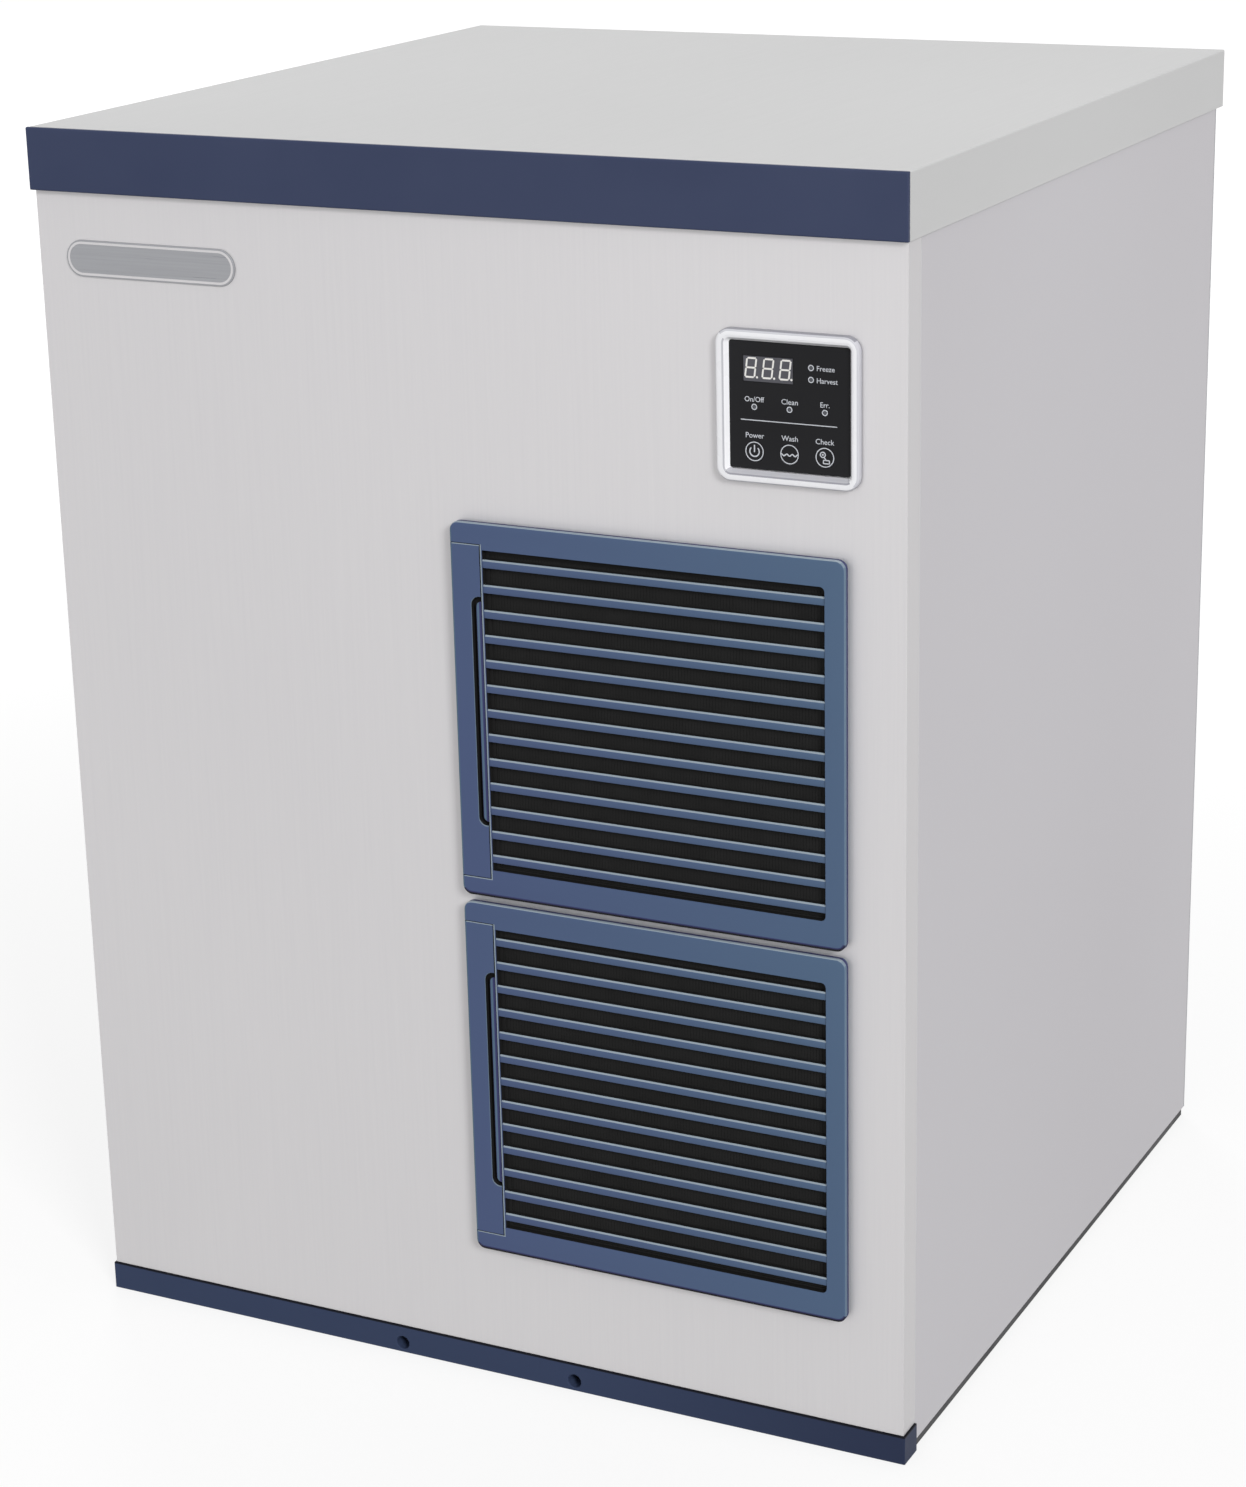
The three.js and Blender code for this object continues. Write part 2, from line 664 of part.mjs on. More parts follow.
const rearPanel = () => {
  const port = (radius, x, z) => rod(
    'y', radius + GAP, [x, rearInside - OVERRUN, z], 3 * OVERRUN, ROUND_SIDES);
  const sheet = cut(
    block([-bodyHalf, bodyHalf], [rearInside, rearFace], [SIDE_LIFT, bodyTop]),
    ...louvrePlaces().map((place) => louvreSlot(...place)),
    port(THREAD_RADIUS, inletX, inletZ),
    port(SPIGOT_RADIUS, drainX, DRAIN_HEIGHT),
    port(THREAD_RADIUS, glandX, GLAND_HEIGHT));
  return join(sheet, ...louvrePlaces().map((place) => louvreHood(...place)));
};

// Base: a moulded pan with the ice drop opening and its collar, and the trim across its front
const dropX = [-panHalf + MOULD_WALL + DROP_MARGIN, bulkheadLeft - DROP_MARGIN];
const dropY = [DROP_FRONT, evaporatorFront];
const trimScrewXs = [-TRIM_SCREW_SPACING / 2, TRIM_SCREW_SPACING / 2];
const screwSeat = TRIM_FRONT + TRIM_RECESS_DEPTH;
const footPlaces = [[-1, -1], [1, -1], [-1, 1], [1, 1]].map(([i, j]) => (
  [
    machineCentre + i * (FOOT_WIDTH / 2 - FOOT_BOSS_RADIUS),
    compressorY + j * (FOOT_DEPTH / 2 - FOOT_BOSS_RADIUS),
  ]));

const basePan = () => {
  const shell = cut(
    block([-panHalf, panHalf], [panFront, panBack], [0, PAN_HEIGHT]),
    block(
      [-panHalf + MOULD_WALL, panHalf - MOULD_WALL],
      [panFront + MOULD_WALL, panBack - MOULD_WALL],
      [PAN_FLOOR, PAN_HEIGHT + OVERRUN]));
  const grown = ([low, high]) => [low - MOULD_WALL, high + MOULD_WALL];
  const collar = block(grown(dropX), grown(dropY), [PAN_FLOOR / 2, DROP_COLLAR]);
  const ribYs = [0, 1, 2].map((i) => (
    shroudBack + (compressorY - FOOT_DEPTH / 2 - shroudBack) * (i + 0.5) / PAN_RIBS));
  const ribs = ribYs.map((y) => block(
    [bulkheadRight + MOULD_WALL, panHalf - MOULD_WALL / 2],
    spread(y, MOULD_WALL),
    [PAN_FLOOR / 2, PAN_FLOOR + PAN_RIB_HEIGHT]));
  const bosses = footPlaces.map(([x, y]) => rod(
    'z', FOOT_BOSS_RADIUS, [x, y, PAN_FLOOR / 2], PAN_FLOOR / 2 + FOOT_BOSS_HEIGHT));
  const screwBosses = trimScrewXs.map((x) => block(
    spread(x, 2 * TRIM_BOSS_RADIUS),
    [panFront + MOULD_WALL / 2, screwSeat + SCREW_LENGTH + MOULD_WALL],
    [PAN_FLOOR / 2, TRIM_SCREW_HEIGHT + TRIM_BOSS_RADIUS]));
  return cut(
    join(shell, collar, ...ribs, ...bosses, ...screwBosses),
    block(dropX, dropY, [-OVERRUN, DROP_COLLAR + OVERRUN]),
    ...trimScrewXs.map((x) => rod(
      'y', SCREW_RADIUS + GAP, [x, panFront - OVERRUN, TRIM_SCREW_HEIGHT],
      OVERRUN + screwSeat + SCREW_LENGTH + GAP - panFront)));
};

const baseTrim = () => {
  const channel = cut(
    block([-WIDTH / 2, WIDTH / 2], [TRIM_FRONT, returnEnd], [0, TRIM_HEIGHT]),
    block(
      [-WIDTH / 2 + MOULD_WALL, WIDTH / 2 - MOULD_WALL],
      [TRIM_FRONT + MOULD_WALL, returnEnd + OVERRUN],
      [-OVERRUN, TRIM_HEIGHT - MOULD_WALL]));
  const bosses = trimScrewXs.map((x) => rod(
    'y', TRIM_BOSS_RADIUS, [x, TRIM_FRONT + MOULD_WALL / 2, TRIM_SCREW_HEIGHT],
    panFront - GAP - TRIM_FRONT - MOULD_WALL / 2));
  return cut(
    join(channel, ...bosses),
    ...trimScrewXs.map((x) => rod(
      'y', TRIM_RECESS_RADIUS, [x, TRIM_FRONT - OVERRUN, TRIM_SCREW_HEIGHT],
      OVERRUN + TRIM_RECESS_DEPTH)),
    ...trimScrewXs.map((x) => rod(
      'y', SCREW_RADIUS + GAP, [x, TRIM_FRONT, TRIM_SCREW_HEIGHT], returnEnd)));
};

// A pan head screw with a cross recess, its head against the floor of the recess
const trimScrew = (x) => {
  const headFront = screwSeat - GAP - SCREW_HEAD_HEIGHT;
  const recess = (width, height) => block(
    spread(x, width),
    [headFront - OVERRUN, headFront + SCREW_HEAD_HEIGHT / 2],
    spread(TRIM_SCREW_HEIGHT, height));
  return cut(
    join(
      rod('y', SCREW_HEAD_RADIUS, [x, headFront, TRIM_SCREW_HEIGHT], SCREW_HEAD_HEIGHT),
      rod('y', SCREW_RADIUS, [x, headFront + SCREW_HEAD_HEIGHT / 2, TRIM_SCREW_HEIGHT], SCREW_LENGTH)),
    recess(SCREW_HEAD_RADIUS, SCREW_SLOT),
    recess(SCREW_SLOT, SCREW_HEAD_RADIUS));
};

// Frame: two channel posts and an angle across their tops, welded into one piece
const frontFrame = () => {
  const post = (side) => {
    const xs = (near, far) => (
      side > 0 ? [postOuter - far, postOuter - near] : [-postOuter + near, -postOuter + far]);
    return cut(
      block(xs(0, POST_WIDTH), [postFront, postBack], [PAN_HEIGHT + GAP, frameTop]),
      block(
        xs(FRAME_SHEET, POST_WIDTH + OVERRUN),
        [postFront + FRAME_SHEET, postBack - FRAME_SHEET],
        [PAN_HEIGHT - OVERRUN, frameTop + OVERRUN]));
  };
  const inner = postOuter - POST_WIDTH / 2;
  const rail = sidePlate(outline([
    [postFront, frameTop - RAIL_HEIGHT],
    [postFront + FRAME_SHEET, frameTop - RAIL_HEIGHT],
    [postFront + FRAME_SHEET, frameTop - FRAME_SHEET],
    [postFront + RAIL_DEPTH, frameTop - FRAME_SHEET],
    [postFront + RAIL_DEPTH, frameTop],
    [postFront, frameTop],
  ]), [-inner, inner]);
  return join(post(-1), post(1), rail);
};

const bulkhead = () => cut(
  block(
    [bulkheadLeft, bulkheadRight],
    [bulkheadFront, panBack - MOULD_WALL - GAP],
    [PAN_FLOOR + GAP, frameTop]),
  ...[coilBottom, coilTop].map((z) => rod(
    'x', PIPE_RADIUS + GROMMET_ROOM, [bulkheadLeft - OVERRUN, coilY, z], 2 * OVERRUN + FRAME_SHEET)));

// Grilles: a louvred shell with a channel behind it, open at the left, for the filter cartridge
const slat = (z) => {
  const front = grilleFront + SLAT_RECESS;
  const depth = shellBack - front;
  const low = z - SLAT_HEIGHT / 2;
  return sidePlate(outline([
    [front + depth * 0.12, low],
    [shellBack, low + SLAT_HEIGHT * 0.15],
    [shellBack, low + SLAT_HEIGHT],
    [front + depth * 0.35, low + SLAT_HEIGHT],
    [front, low + SLAT_HEIGHT * 0.7],
    [front, low + SLAT_HEIGHT * 0.12],
  ]), [windowLeft - HANDLE_STRIP / 2, windowRight + HANDLE_STRIP / 2]);
};

const grille = (z) => {
  const channel = handleHeight + 2 * GAP;
  const face = frontPlate(
    rounded([grilleLeft, grilleRight], spread(z, grilleHeight), GRILLE_CORNER),
    [grilleFront, grilleBack + 2 * GRILLE_BEVEL], 3, GRILLE_BEVEL);
  const opening = new THREE.Shape();
  const windowMiddle = z + WINDOW_RISE;
  const [low, high] = spread(windowMiddle, windowHeight);
  opening.moveTo(windowLeft, low);
  opening.lineTo(windowRight - WINDOW_CORNER, low);
  opening.absarc(windowRight - WINDOW_CORNER, low + WINDOW_CORNER, WINDOW_CORNER, -Math.PI / 2, 0);
  opening.lineTo(windowRight, high - WINDOW_CORNER);
  opening.absarc(windowRight - WINDOW_CORNER, high - WINDOW_CORNER, WINDOW_CORNER, 0, Math.PI / 2);
  opening.lineTo(windowLeft, high);
  const body = cut(
    face,
    block(
      [grilleLeft - OVERRUN, grilleRight + OVERRUN],
      [grilleBack, grilleBack + 2 * OVERRUN],
      spread(z, grilleHeight + OVERRUN)),
    block([grilleLeft - OVERRUN, filterRight + GAP], [shellBack, grilleBack + OVERRUN], spread(z, channel)),
    block(
      [grilleLeft - OVERRUN, grilleLeft + HANDLE_WIDTH + GAP],
      [grilleFront - OVERRUN, grilleBack + OVERRUN],
      spread(z, channel)),
    frontPlate(opening, [grilleFront - OVERRUN, shellBack + OVERRUN]));
  const slats = Array.from({ length: slatCount }, (_, i) => (
    slat(windowMiddle + (i - (slatCount - 1) / 2) * SLAT_PITCH)));
  const tabLeft = grilleLeft + HANDLE_WIDTH - NOTCH_DEPTH + NOTCH_GROOVE;
  const tab = block(
    [tabLeft, windowLeft - HANDLE_STRIP / 2],
    [grilleFront + NOTCH_TAB_DROP, shellBack],
    spread(z, notchLength - 2 * NOTCH_GROOVE));
  return join(body, ...slats, tab);
};

// Filter cartridge: the handle bar and the net's frame are one moulding, the net sits in it
const filterFront = shellBack + GAP;
const filterBack = grilleBack - GAP;
const netLeft = windowLeft + FILTER_RIM / 2;

const filterFrame = (z) => {
  const handle = frontPlate(
    outline([
      [grilleLeft, z - handleHeight / 2],
      [grilleLeft + HANDLE_WIDTH, z - handleHeight / 2],
      [grilleLeft + HANDLE_WIDTH, z + handleHeight / 2],
      [grilleLeft, z + handleHeight / 2],
    ]),
    [grilleFront, filterBack]);
  const notch = frontPlate(
    rounded(
      [grilleLeft + HANDLE_WIDTH - NOTCH_DEPTH, grilleLeft + HANDLE_WIDTH + OVERRUN],
      spread(z, notchLength), NOTCH_GROOVE),
    [grilleFront - OVERRUN, filterFront]);
  const frame = cut(
    block([grilleLeft + HANDLE_WIDTH / 2, filterRight], [filterFront, filterBack], spread(z, handleHeight)),
    block(
      [netLeft, filterRight - FILTER_RIM],
      [filterFront - OVERRUN, filterBack + OVERRUN],
      spread(z, handleHeight - 2 * FILTER_RIM)));
  const netWidth = filterRight - FILTER_RIM - netLeft;
  const netHeight = handleHeight - 2 * FILTER_RIM;
  const columns = Array.from({ length: FILTER_COLUMNS - 1 }, (_, i) => block(
    spread(netLeft + netWidth * (i + 1) / FILTER_COLUMNS, FILTER_RIB),
    [filterBack - FILTER_RIB, filterBack],
    spread(z, netHeight + FILTER_RIM)));
  const rows = Array.from({ length: FILTER_ROWS - 1 }, (_, i) => block(
    [netLeft - FILTER_RIM / 2, filterRight - FILTER_RIM / 2],
    [filterBack - FILTER_RIB, filterBack],
    spread(z - netHeight / 2 + netHeight * (i + 1) / FILTER_ROWS, FILTER_RIB)));
  return join(cut(handle, notch), frame, ...columns, ...rows);
};

const filterMesh = (z) => {
  const back = filterBack - FILTER_RIB - GAP;
  return block(
    [netLeft + GAP, filterRight - FILTER_RIM - GAP],
    [back - FILTER_MESH, back],
    spread(z, handleHeight - 2 * FILTER_RIM - 2 * GAP));
};

// Control panel: bezel with a neck through the panel, overlay, display lens, keys and board
const controlBezel = () => {
  const square = (size, radius) => rounded(spread(bezelX, size), spread(bezelZ, size), radius);
  const flange = frontPlate(
    square(BEZEL_SIZE, BEZEL_CORNER), [bezelFront, panelFace - GAP + 2 * BEZEL_BEVEL], 3, BEZEL_BEVEL);
  const trimmed = cut(flange, block(
    spread(bezelX, BEZEL_SIZE + OVERRUN),
    [panelFace - GAP, panelFace + OVERRUN],
    spread(bezelZ, BEZEL_SIZE + OVERRUN)));
  const neck = frontPlate(square(neckSize, BEZEL_CORNER / 2), [overlayFront, neckBack]);
  return cut(
    join(trimmed, neck),
    frontPlate(
      square(overlaySize + 2 * GAP, OVERLAY_CORNER + GAP), [bezelFront - OVERRUN, overlayBack + GAP]),
    frontPlate(square(overlaySize - 2 * BEZEL_LEDGE, OVERLAY_CORNER), [bezelFront, neckBack + OVERRUN]));
};

const controlOverlay = () => cut(
  frontPlate(
    rounded(spread(bezelX, overlaySize), spread(bezelZ, overlaySize), OVERLAY_CORNER),
    [overlayFront, overlayBack], 3),
  block(
    [displayLeft - GAP, displayLeft + DISPLAY_WIDTH + GAP],
    [overlayFront - OVERRUN, overlayBack + OVERRUN],
    [displayTop - DISPLAY_HEIGHT - GAP, displayTop + GAP]),
  ...keyXs.map((x) => rod(
    'y', KEY_RADIUS + GAP, [x, overlayFront - OVERRUN, keyZ],
    2 * OVERRUN + OVERLAY_THICKNESS, ROUND_SIDES)));

const displayWindow = () => block(
  [displayLeft, displayLeft + DISPLAY_WIDTH],
  [overlayFront, overlayBack],
  [displayTop - DISPLAY_HEIGHT, displayTop]);

// A key's cap and the stem that presses its switch
const key = (x) => join(
  rod('y', KEY_RADIUS, [x, overlayFront, keyZ], OVERLAY_THICKNESS, ROUND_SIDES),
  rod('y', KEY_STEM_RADIUS, [x, overlayBack - OVERLAY_THICKNESS / 2, keyZ],
    keyStemEnd - overlayBack + OVERLAY_THICKNESS / 2));

const controlBoard = () => {
  const size = neckSize - BEZEL_LEDGE / 2;
  const board = frontPlate(
    rounded(spread(bezelX, size), spread(bezelZ, size), OVERLAY_CORNER),
    [boardFront, boardFront + BOARD_THICKNESS], 2);
  const display = block(
    [displayLeft, displayLeft + DISPLAY_WIDTH],
    [overlayBack + 2 * GAP, boardFront + BOARD_THICKNESS / 2],
    [displayTop - DISPLAY_HEIGHT, displayTop]);
  const switches = keyXs.map((x) => block(
    spread(x, SWITCH_SIZE),
    [keyStemEnd + KEY_STROKE + GAP, boardFront + BOARD_THICKNESS / 2],
    spread(keyZ, SWITCH_SIZE)));
  const relays = [-1, 0, 1].map((i) => block(
    spread(bezelX + i * RELAY_SIZE * 1.4, RELAY_SIZE),
    [boardFront + BOARD_THICKNESS / 2, boardFront + BOARD_THICKNESS + RELAY_SIZE],
    spread(bezelZ + RELAY_SIZE, RELAY_SIZE)));
  const connector = block(
    spread(bezelX, size * 0.6),
    [boardFront + BOARD_THICKNESS / 2, boardFront + BOARD_THICKNESS + RELAY_SIZE / 2],
    spread(bezelZ - size / 2 + RELAY_SIZE, RELAY_SIZE / 2));
  return join(board, display, ...switches, ...relays, connector);
};

// Condenser: upright fins between two end plates that stand on the pan, return bends, two stubs
const TUBE_ROW_SHARES = [0.27, 0.73];
const condenserIn = condenserTop - STUB_STEP;
const condenserOut = CONDENSER_LOWEST + STUB_STEP;

const condenser = () => {
  const width = condenserRight - condenserLeft - 2 * END_PLATE;
  const pitch = (width - FIN_THICKNESS) / CONDENSER_FINS;
  const left = condenserLeft + END_PLATE;
  const comb = [];
  for (let i = 0; i <= CONDENSER_FINS; i += 1) {
    const x = left + i * pitch;
    comb.push([x, condenserFront + FIN_DEPTH], [x, condenserFront]);
    comb.push([x + FIN_THICKNESS, condenserFront], [x + FIN_THICKNESS, condenserFront + FIN_DEPTH]);
  }
  for (let i = CONDENSER_FINS; i >= 0; i -= 1) {
    const x = left + i * pitch;
    comb.push([x + FIN_THICKNESS, condenserBack - FIN_DEPTH], [x + FIN_THICKNESS, condenserBack]);
    comb.push([x, condenserBack], [x, condenserBack - FIN_DEPTH]);
  }
  const fins = planPlate(outline(comb), [CONDENSER_LOWEST, condenserTop]);
  const plates = [condenserLeft, condenserRight - END_PLATE].map((x) => block(
    [x, x + END_PLATE + FIN_THICKNESS / 2],
    [condenserFront, condenserBack],
    [PAN_FLOOR + GAP, condenserTop]));
  const [near, far] = TUBE_ROW_SHARES.map((share) => condenserFront + CONDENSER_DEPTH * share);
  const bends = [[condenserLeft, -1], [condenserRight, 1]].flatMap(([x, side]) => (
    bendHeights.map((z) => pipe([
      [x - side * END_PLATE / 2, near, z],
      [x + side * BEND_REACH, near, z],
      [x + side * BEND_REACH, far, z],
      [x - side * END_PLATE / 2, far, z],
    ], PIPE_RADIUS * 0.8, BEND_REACH * 0.6, PIPE_SIDES, 2))));
  const stubs = [condenserOut, condenserIn].map((z) => pipe([
    [condenserLeft + END_PLATE / 2, far, z],
    [headerX, far, z],
    [headerX, headerEnd, z],
  ], PIPE_RADIUS, HEADER_BEND));
  return join(fins, ...plates, ...bends, ...stubs);
};


// Fan group: a boxed shroud with its ring, a strap bracket, the motor, its shaft and the blade
const fanShroud = () => {
  const xs = [condenserLeft, condenserRight];
  const zs = [CONDENSER_LOWEST, condenserTop];
  const inset = ([low, high]) => [low + FRAME_SHEET, high - FRAME_SHEET];
  const box = cut(
    block(xs, [condenserBack + GAP, shroudBack], zs),
    block(inset(xs), [condenserBack - OVERRUN, shroudBack - FRAME_SHEET], inset(zs)));
  const ring = rod(
    'y', ringRadius + FRAME_SHEET, [fanX, shroudBack - FRAME_SHEET / 2, fanZ],
    ringBack - shroudBack + FRAME_SHEET / 2, RING_SIDES);
  return cut(
    join(box, ring),
    rod('y', ringRadius, [fanX, condenserBack, fanZ], ringBack, RING_SIDES));
};

const fanBracket = () => {
  const leg = ringRadius + BRACKET_FOOT;
  const toe = leg + BRACKET_FOOT;
  const front = shroudBack + GAP;
  const half = [
    [bracketBack, leg], [front, leg], [front, toe], [front + BRACKET_SHEET, toe],
    [front + BRACKET_SHEET, leg + BRACKET_SHEET], [bracketBack + BRACKET_SHEET, leg + BRACKET_SHEET],
  ];
  const lower = [...half].reverse().map(([y, z]) => [y, -z]);
  const profile = outline([...half, ...lower].map(([y, z]) => [y, fanZ + z]));
  return cut(
    sidePlate(profile, spread(fanX, BRACKET_WIDTH)),
    rod('y', FAN_SHAFT_RADIUS + SHAFT_ROOM, [fanX, bracketBack - OVERRUN, fanZ], 2 * OVERRUN));
};

const fanMotor = () => {
  const front = bracketBack + BRACKET_SHEET + GAP;
  const can = rod('y', FAN_MOTOR_RADIUS, [fanX, front, fanZ], FAN_MOTOR_LENGTH, ROUND_SIDES);
  const belt = rod(
    'y', FAN_MOTOR_RADIUS * 1.08, [fanX, front + FAN_MOTOR_LENGTH * 0.35, fanZ],
    FAN_MOTOR_LENGTH * 0.3, ROUND_SIDES);
  const cap = rod(
    'y', FAN_MOTOR_RADIUS * 0.4, [fanX, front + FAN_MOTOR_LENGTH * 0.9, fanZ],
    FAN_MOTOR_LENGTH * 0.2);
  return cut(
    join(can, belt, cap),
    rod('y', FAN_SHAFT_RADIUS + GAP, [fanX, front - OVERRUN, fanZ], OVERRUN + FAN_MOTOR_LENGTH / 2));
};

const fanShaft = () => {
  const front = bladeFront - GAP;
  const back = bracketBack + BRACKET_SHEET + FAN_MOTOR_LENGTH / 2 - GAP;
  return rod('y', FAN_SHAFT_RADIUS, [fanX, front, fanZ], back - front);
};

// Twisted blades on a hub with a bore for the shaft
const HUB_SHARES = [0.9, 1.9, 3];
const fanBlade = () => {
  const hub = rod('y', FAN_HUB_RADIUS, [fanX, bladeFront, fanZ], HUB_LENGTH, ROUND_SIDES);
  const stations = [...HUB_SHARES.map((share) => share * FAN_HUB_RADIUS), FAN_RADIUS];
  const blades = Array.from({ length: FAN_BLADES }, (_, b) => {
    const rings = stations.map((radius) => {
      const out = radius / FAN_RADIUS;
      const pitch = THREE.MathUtils.degToRad(ROOT_ANGLE - TWIST_ANGLE * out);
      const chord = FAN_RADIUS * (0.28 + 0.42 * out);
      const sweep = 0.42 * out * out;
      const reach = Math.min(chord, (HUB_LENGTH - BLADE_THICKNESS) / Math.sin(pitch));
      const camber = reach * 0.08;
      const half = BLADE_THICKNESS / 2;
      return [
        [-0.5, 0], [0, camber + half], [0.5, 0], [0.5, -half], [0, camber - half], [-0.5, -half],
      ].map(([along, off]) => {
        const tangential = along * reach * Math.cos(pitch) - off * Math.sin(pitch);
        const axial = along * reach * Math.sin(pitch) + off * Math.cos(pitch);
        const angle = b * 2 * Math.PI / FAN_BLADES + sweep + tangential / radius;
        return new THREE.Vector3(
          fanX + radius * Math.cos(angle),
          bladeFront + HUB_LENGTH / 2 + axial,
          fanZ + radius * Math.sin(angle));
      });
    });
    return loft(rings);
  });
  return cut(
    join(hub, ...blades),
    rod('y', FAN_SHAFT_RADIUS + GAP, [fanX, bladeFront - OVERRUN, fanZ], 2 * OVERRUN + HUB_LENGTH));
};

// Compressor: a drawn two-piece shell with its seam, on a foot plate, with suction and discharge stubs
const footTop = PAN_FLOOR + FOOT_BOSS_HEIGHT + GAP + FOOT_SHEET;
const shellReach = SHELL_RADIUS * SHELL_STRETCH;
const suctionZ = footTop + SHELL_HEIGHT * 0.62;
const suctionEnd = machineCentre - SHELL_RADIUS - STUB_LENGTH;
const dischargeX = machineCentre - SHELL_RADIUS * 0.4;
const dischargeZ = footTop + SHELL_HEIGHT * 0.3;
const dischargeEnd = compressorY - shellReach - STUB_LENGTH;

const compressor = () => {
  const seam = SHELL_HEIGHT * 0.48;
  const shellShares = [
    [0, 0], [0.84, 0], [1, 0.1], [1, 0.46], [SEAM_SHARE, 0.48],
    [SEAM_SHARE, 0.52], [1, 0.54], [1, 0.74], [0.9, 0.89], [0.6, 0.98], [0, 1],
  ];
  const shell = turned(
    shellShares.map(([r, h]) => [r * SHELL_RADIUS, h * SHELL_HEIGHT]), [0, 0, 0], ROUND_SIDES)
    .scale(1, SHELL_STRETCH, 1)
    .translate(machineCentre, compressorY, footTop - GAP);
  const plate = planPlate(
    rounded(spread(machineCentre, FOOT_WIDTH), spread(compressorY, FOOT_DEPTH), FOOT_BOSS_RADIUS),
    [footTop - FOOT_SHEET, footTop], 3);
  return join(
    shell,
    plate,
    stub('x', SUCTION_RADIUS, [suctionEnd, compressorY, suctionZ], STUB_LENGTH + SHELL_RADIUS / 2),
    stub('y', PIPE_RADIUS, [dischargeX, dischargeEnd, dischargeZ], STUB_LENGTH + shellReach / 2),
    stub(
      'z', PIPE_RADIUS, [machineCentre, compressorY, footTop + seam],
      SHELL_HEIGHT - seam + STUB_LENGTH / 2));
};

const terminalCover = () => {
  const inner = machineCentre + SHELL_RADIUS * SEAM_SHARE + GAP;
  const coverZ = footTop + SHELL_HEIGHT * 0.34;
  return cut(
    frontPlate(
      rounded([inner, inner + COVER_DEPTH], spread(coverZ, COVER_HEIGHT), OVERRUN),
      spread(compressorY, COVER_WIDTH), 3),
    block(
      [inner - OVERRUN, inner + COVER_DEPTH - MOULD_WALL],
      spread(compressorY, COVER_WIDTH - 2 * MOULD_WALL),
      spread(coverZ, COVER_HEIGHT - 2 * MOULD_WALL)));
};

// Refrigeration: drier, valves and the formed pipes between them, butted end to end
const riserY = dischargeEnd - PIPE_RUN;
const drierX = dischargeX - PIPE_RADIUS - DRIER_SET - DRIER_RADIUS;
const drierBottom = footTop + SHELL_HEIGHT * 0.7;
const drierTop = drierBottom + DRIER_LENGTH;
const suctionX = bulkheadRight + PIPE_OFFSET;
const valveLeft = suctionX + VALVE_OFFSET;
const valveRight = valveLeft + VALVE_LENGTH;
const hotGasRight = dischargeX - PIPE_RADIUS - TEE_REACH;
const hotGasLeft = hotGasRight - VALVE_LENGTH;
const hotGasZ = coilBottom + HOT_GAS_RISE;
const teeX = coilEnd + PIPE_OFFSET;

const filterDrier = () => turned([
  [0, 0], [DRIER_NECK, 0], [DRIER_NECK, DRIER_LENGTH * 0.1],
  [DRIER_RADIUS, DRIER_LENGTH * 0.25], [DRIER_RADIUS, DRIER_LENGTH * 0.75],
  [DRIER_NECK, DRIER_LENGTH * 0.9], [DRIER_NECK, DRIER_LENGTH], [0, DRIER_LENGTH],
], [drierX, riserY, drierBottom]);

const expansionValve = () => {
  const middle = (valveLeft + valveRight) / 2;
  return join(
    rod('x', PIPE_RADIUS * 1.8, [valveLeft, coilY, coilBottom], VALVE_LENGTH),
    rod('z', PIPE_RADIUS * 1.4, [middle, coilY, coilBottom], PIPE_RADIUS * 3),
    turned([
      [0, 0], [PIPE_RADIUS * 2.2, 0], [PIPE_RADIUS * 3.2, PIPE_RADIUS * 0.5],
      [PIPE_RADIUS * 3.2, PIPE_RADIUS * 0.9], [PIPE_RADIUS * 2.2, PIPE_RADIUS * 1.7], [0, PIPE_RADIUS * 1.9],
    ], [middle, coilY, coilBottom + PIPE_RADIUS * 2.6]));
};

const hotGasValve = () => {
  const middle = (hotGasLeft + hotGasRight) / 2;
  const coilBase = riserY + PIPE_RADIUS * 2.4;
  return join(
    rod('x', PIPE_RADIUS * 1.6, [hotGasLeft, riserY, hotGasZ], VALVE_LENGTH),
    rod('y', PIPE_RADIUS, [middle, riserY, hotGasZ], SOLENOID_HEIGHT + PIPE_RADIUS * 3.4),
    frontPlate(
      rounded(spread(middle, SOLENOID_WIDTH), spread(hotGasZ, SOLENOID_WIDTH), SOLENOID_WIDTH * 0.2),
      [coilBase, coilBase + SOLENOID_HEIGHT], 3));
};

const dischargePipe = () => join(
  pipe([
    [dischargeX, dischargeEnd - GAP, dischargeZ],
    [dischargeX, riserY, dischargeZ],
    [dischargeX, riserY, condenserIn],
    [headerX, riserY, condenserIn],
    [headerX, headerEnd + GAP, condenserIn],
  ], PIPE_RADIUS, PIPE_BEND),
  stub('x', PIPE_RADIUS, [hotGasRight + GAP, riserY, hotGasZ], PIPE_RADIUS + TEE_REACH - GAP));

const hotGasPipe = () => pipe([
  [hotGasLeft - GAP, riserY, hotGasZ],
  [teeX, riserY, hotGasZ],
  [teeX, riserY, coilBottom],
  [teeX, coilY + PIPE_RADIUS + GAP, coilBottom],
], PIPE_RADIUS, PIPE_BEND * 0.7);

const expansionPipe = () => pipe([
  [coilEnd + GAP, coilY, coilBottom],
  [valveLeft - GAP, coilY, coilBottom],
], PIPE_RADIUS, PIPE_BEND);

const drierPipe = () => pipe([
  [valveRight + GAP, coilY, coilBottom],
  [drierX, coilY, coilBottom],
  [drierX, riserY, coilBottom],
  [drierX, riserY, drierTop + GAP],
], LIQUID_RADIUS, PIPE_BEND * 0.5);

const liquidPipe = () => {
  const turnY = (headerEnd + riserY) / 2;
  return pipe([
    [headerX, headerEnd + GAP, condenserOut],
    [headerX, turnY, condenserOut],
    [drierX, turnY, condenserOut],
    [drierX, riserY, condenserOut],
    [drierX, riserY, drierBottom - GAP],
  ], LIQUID_RADIUS, PIPE_BEND);
};

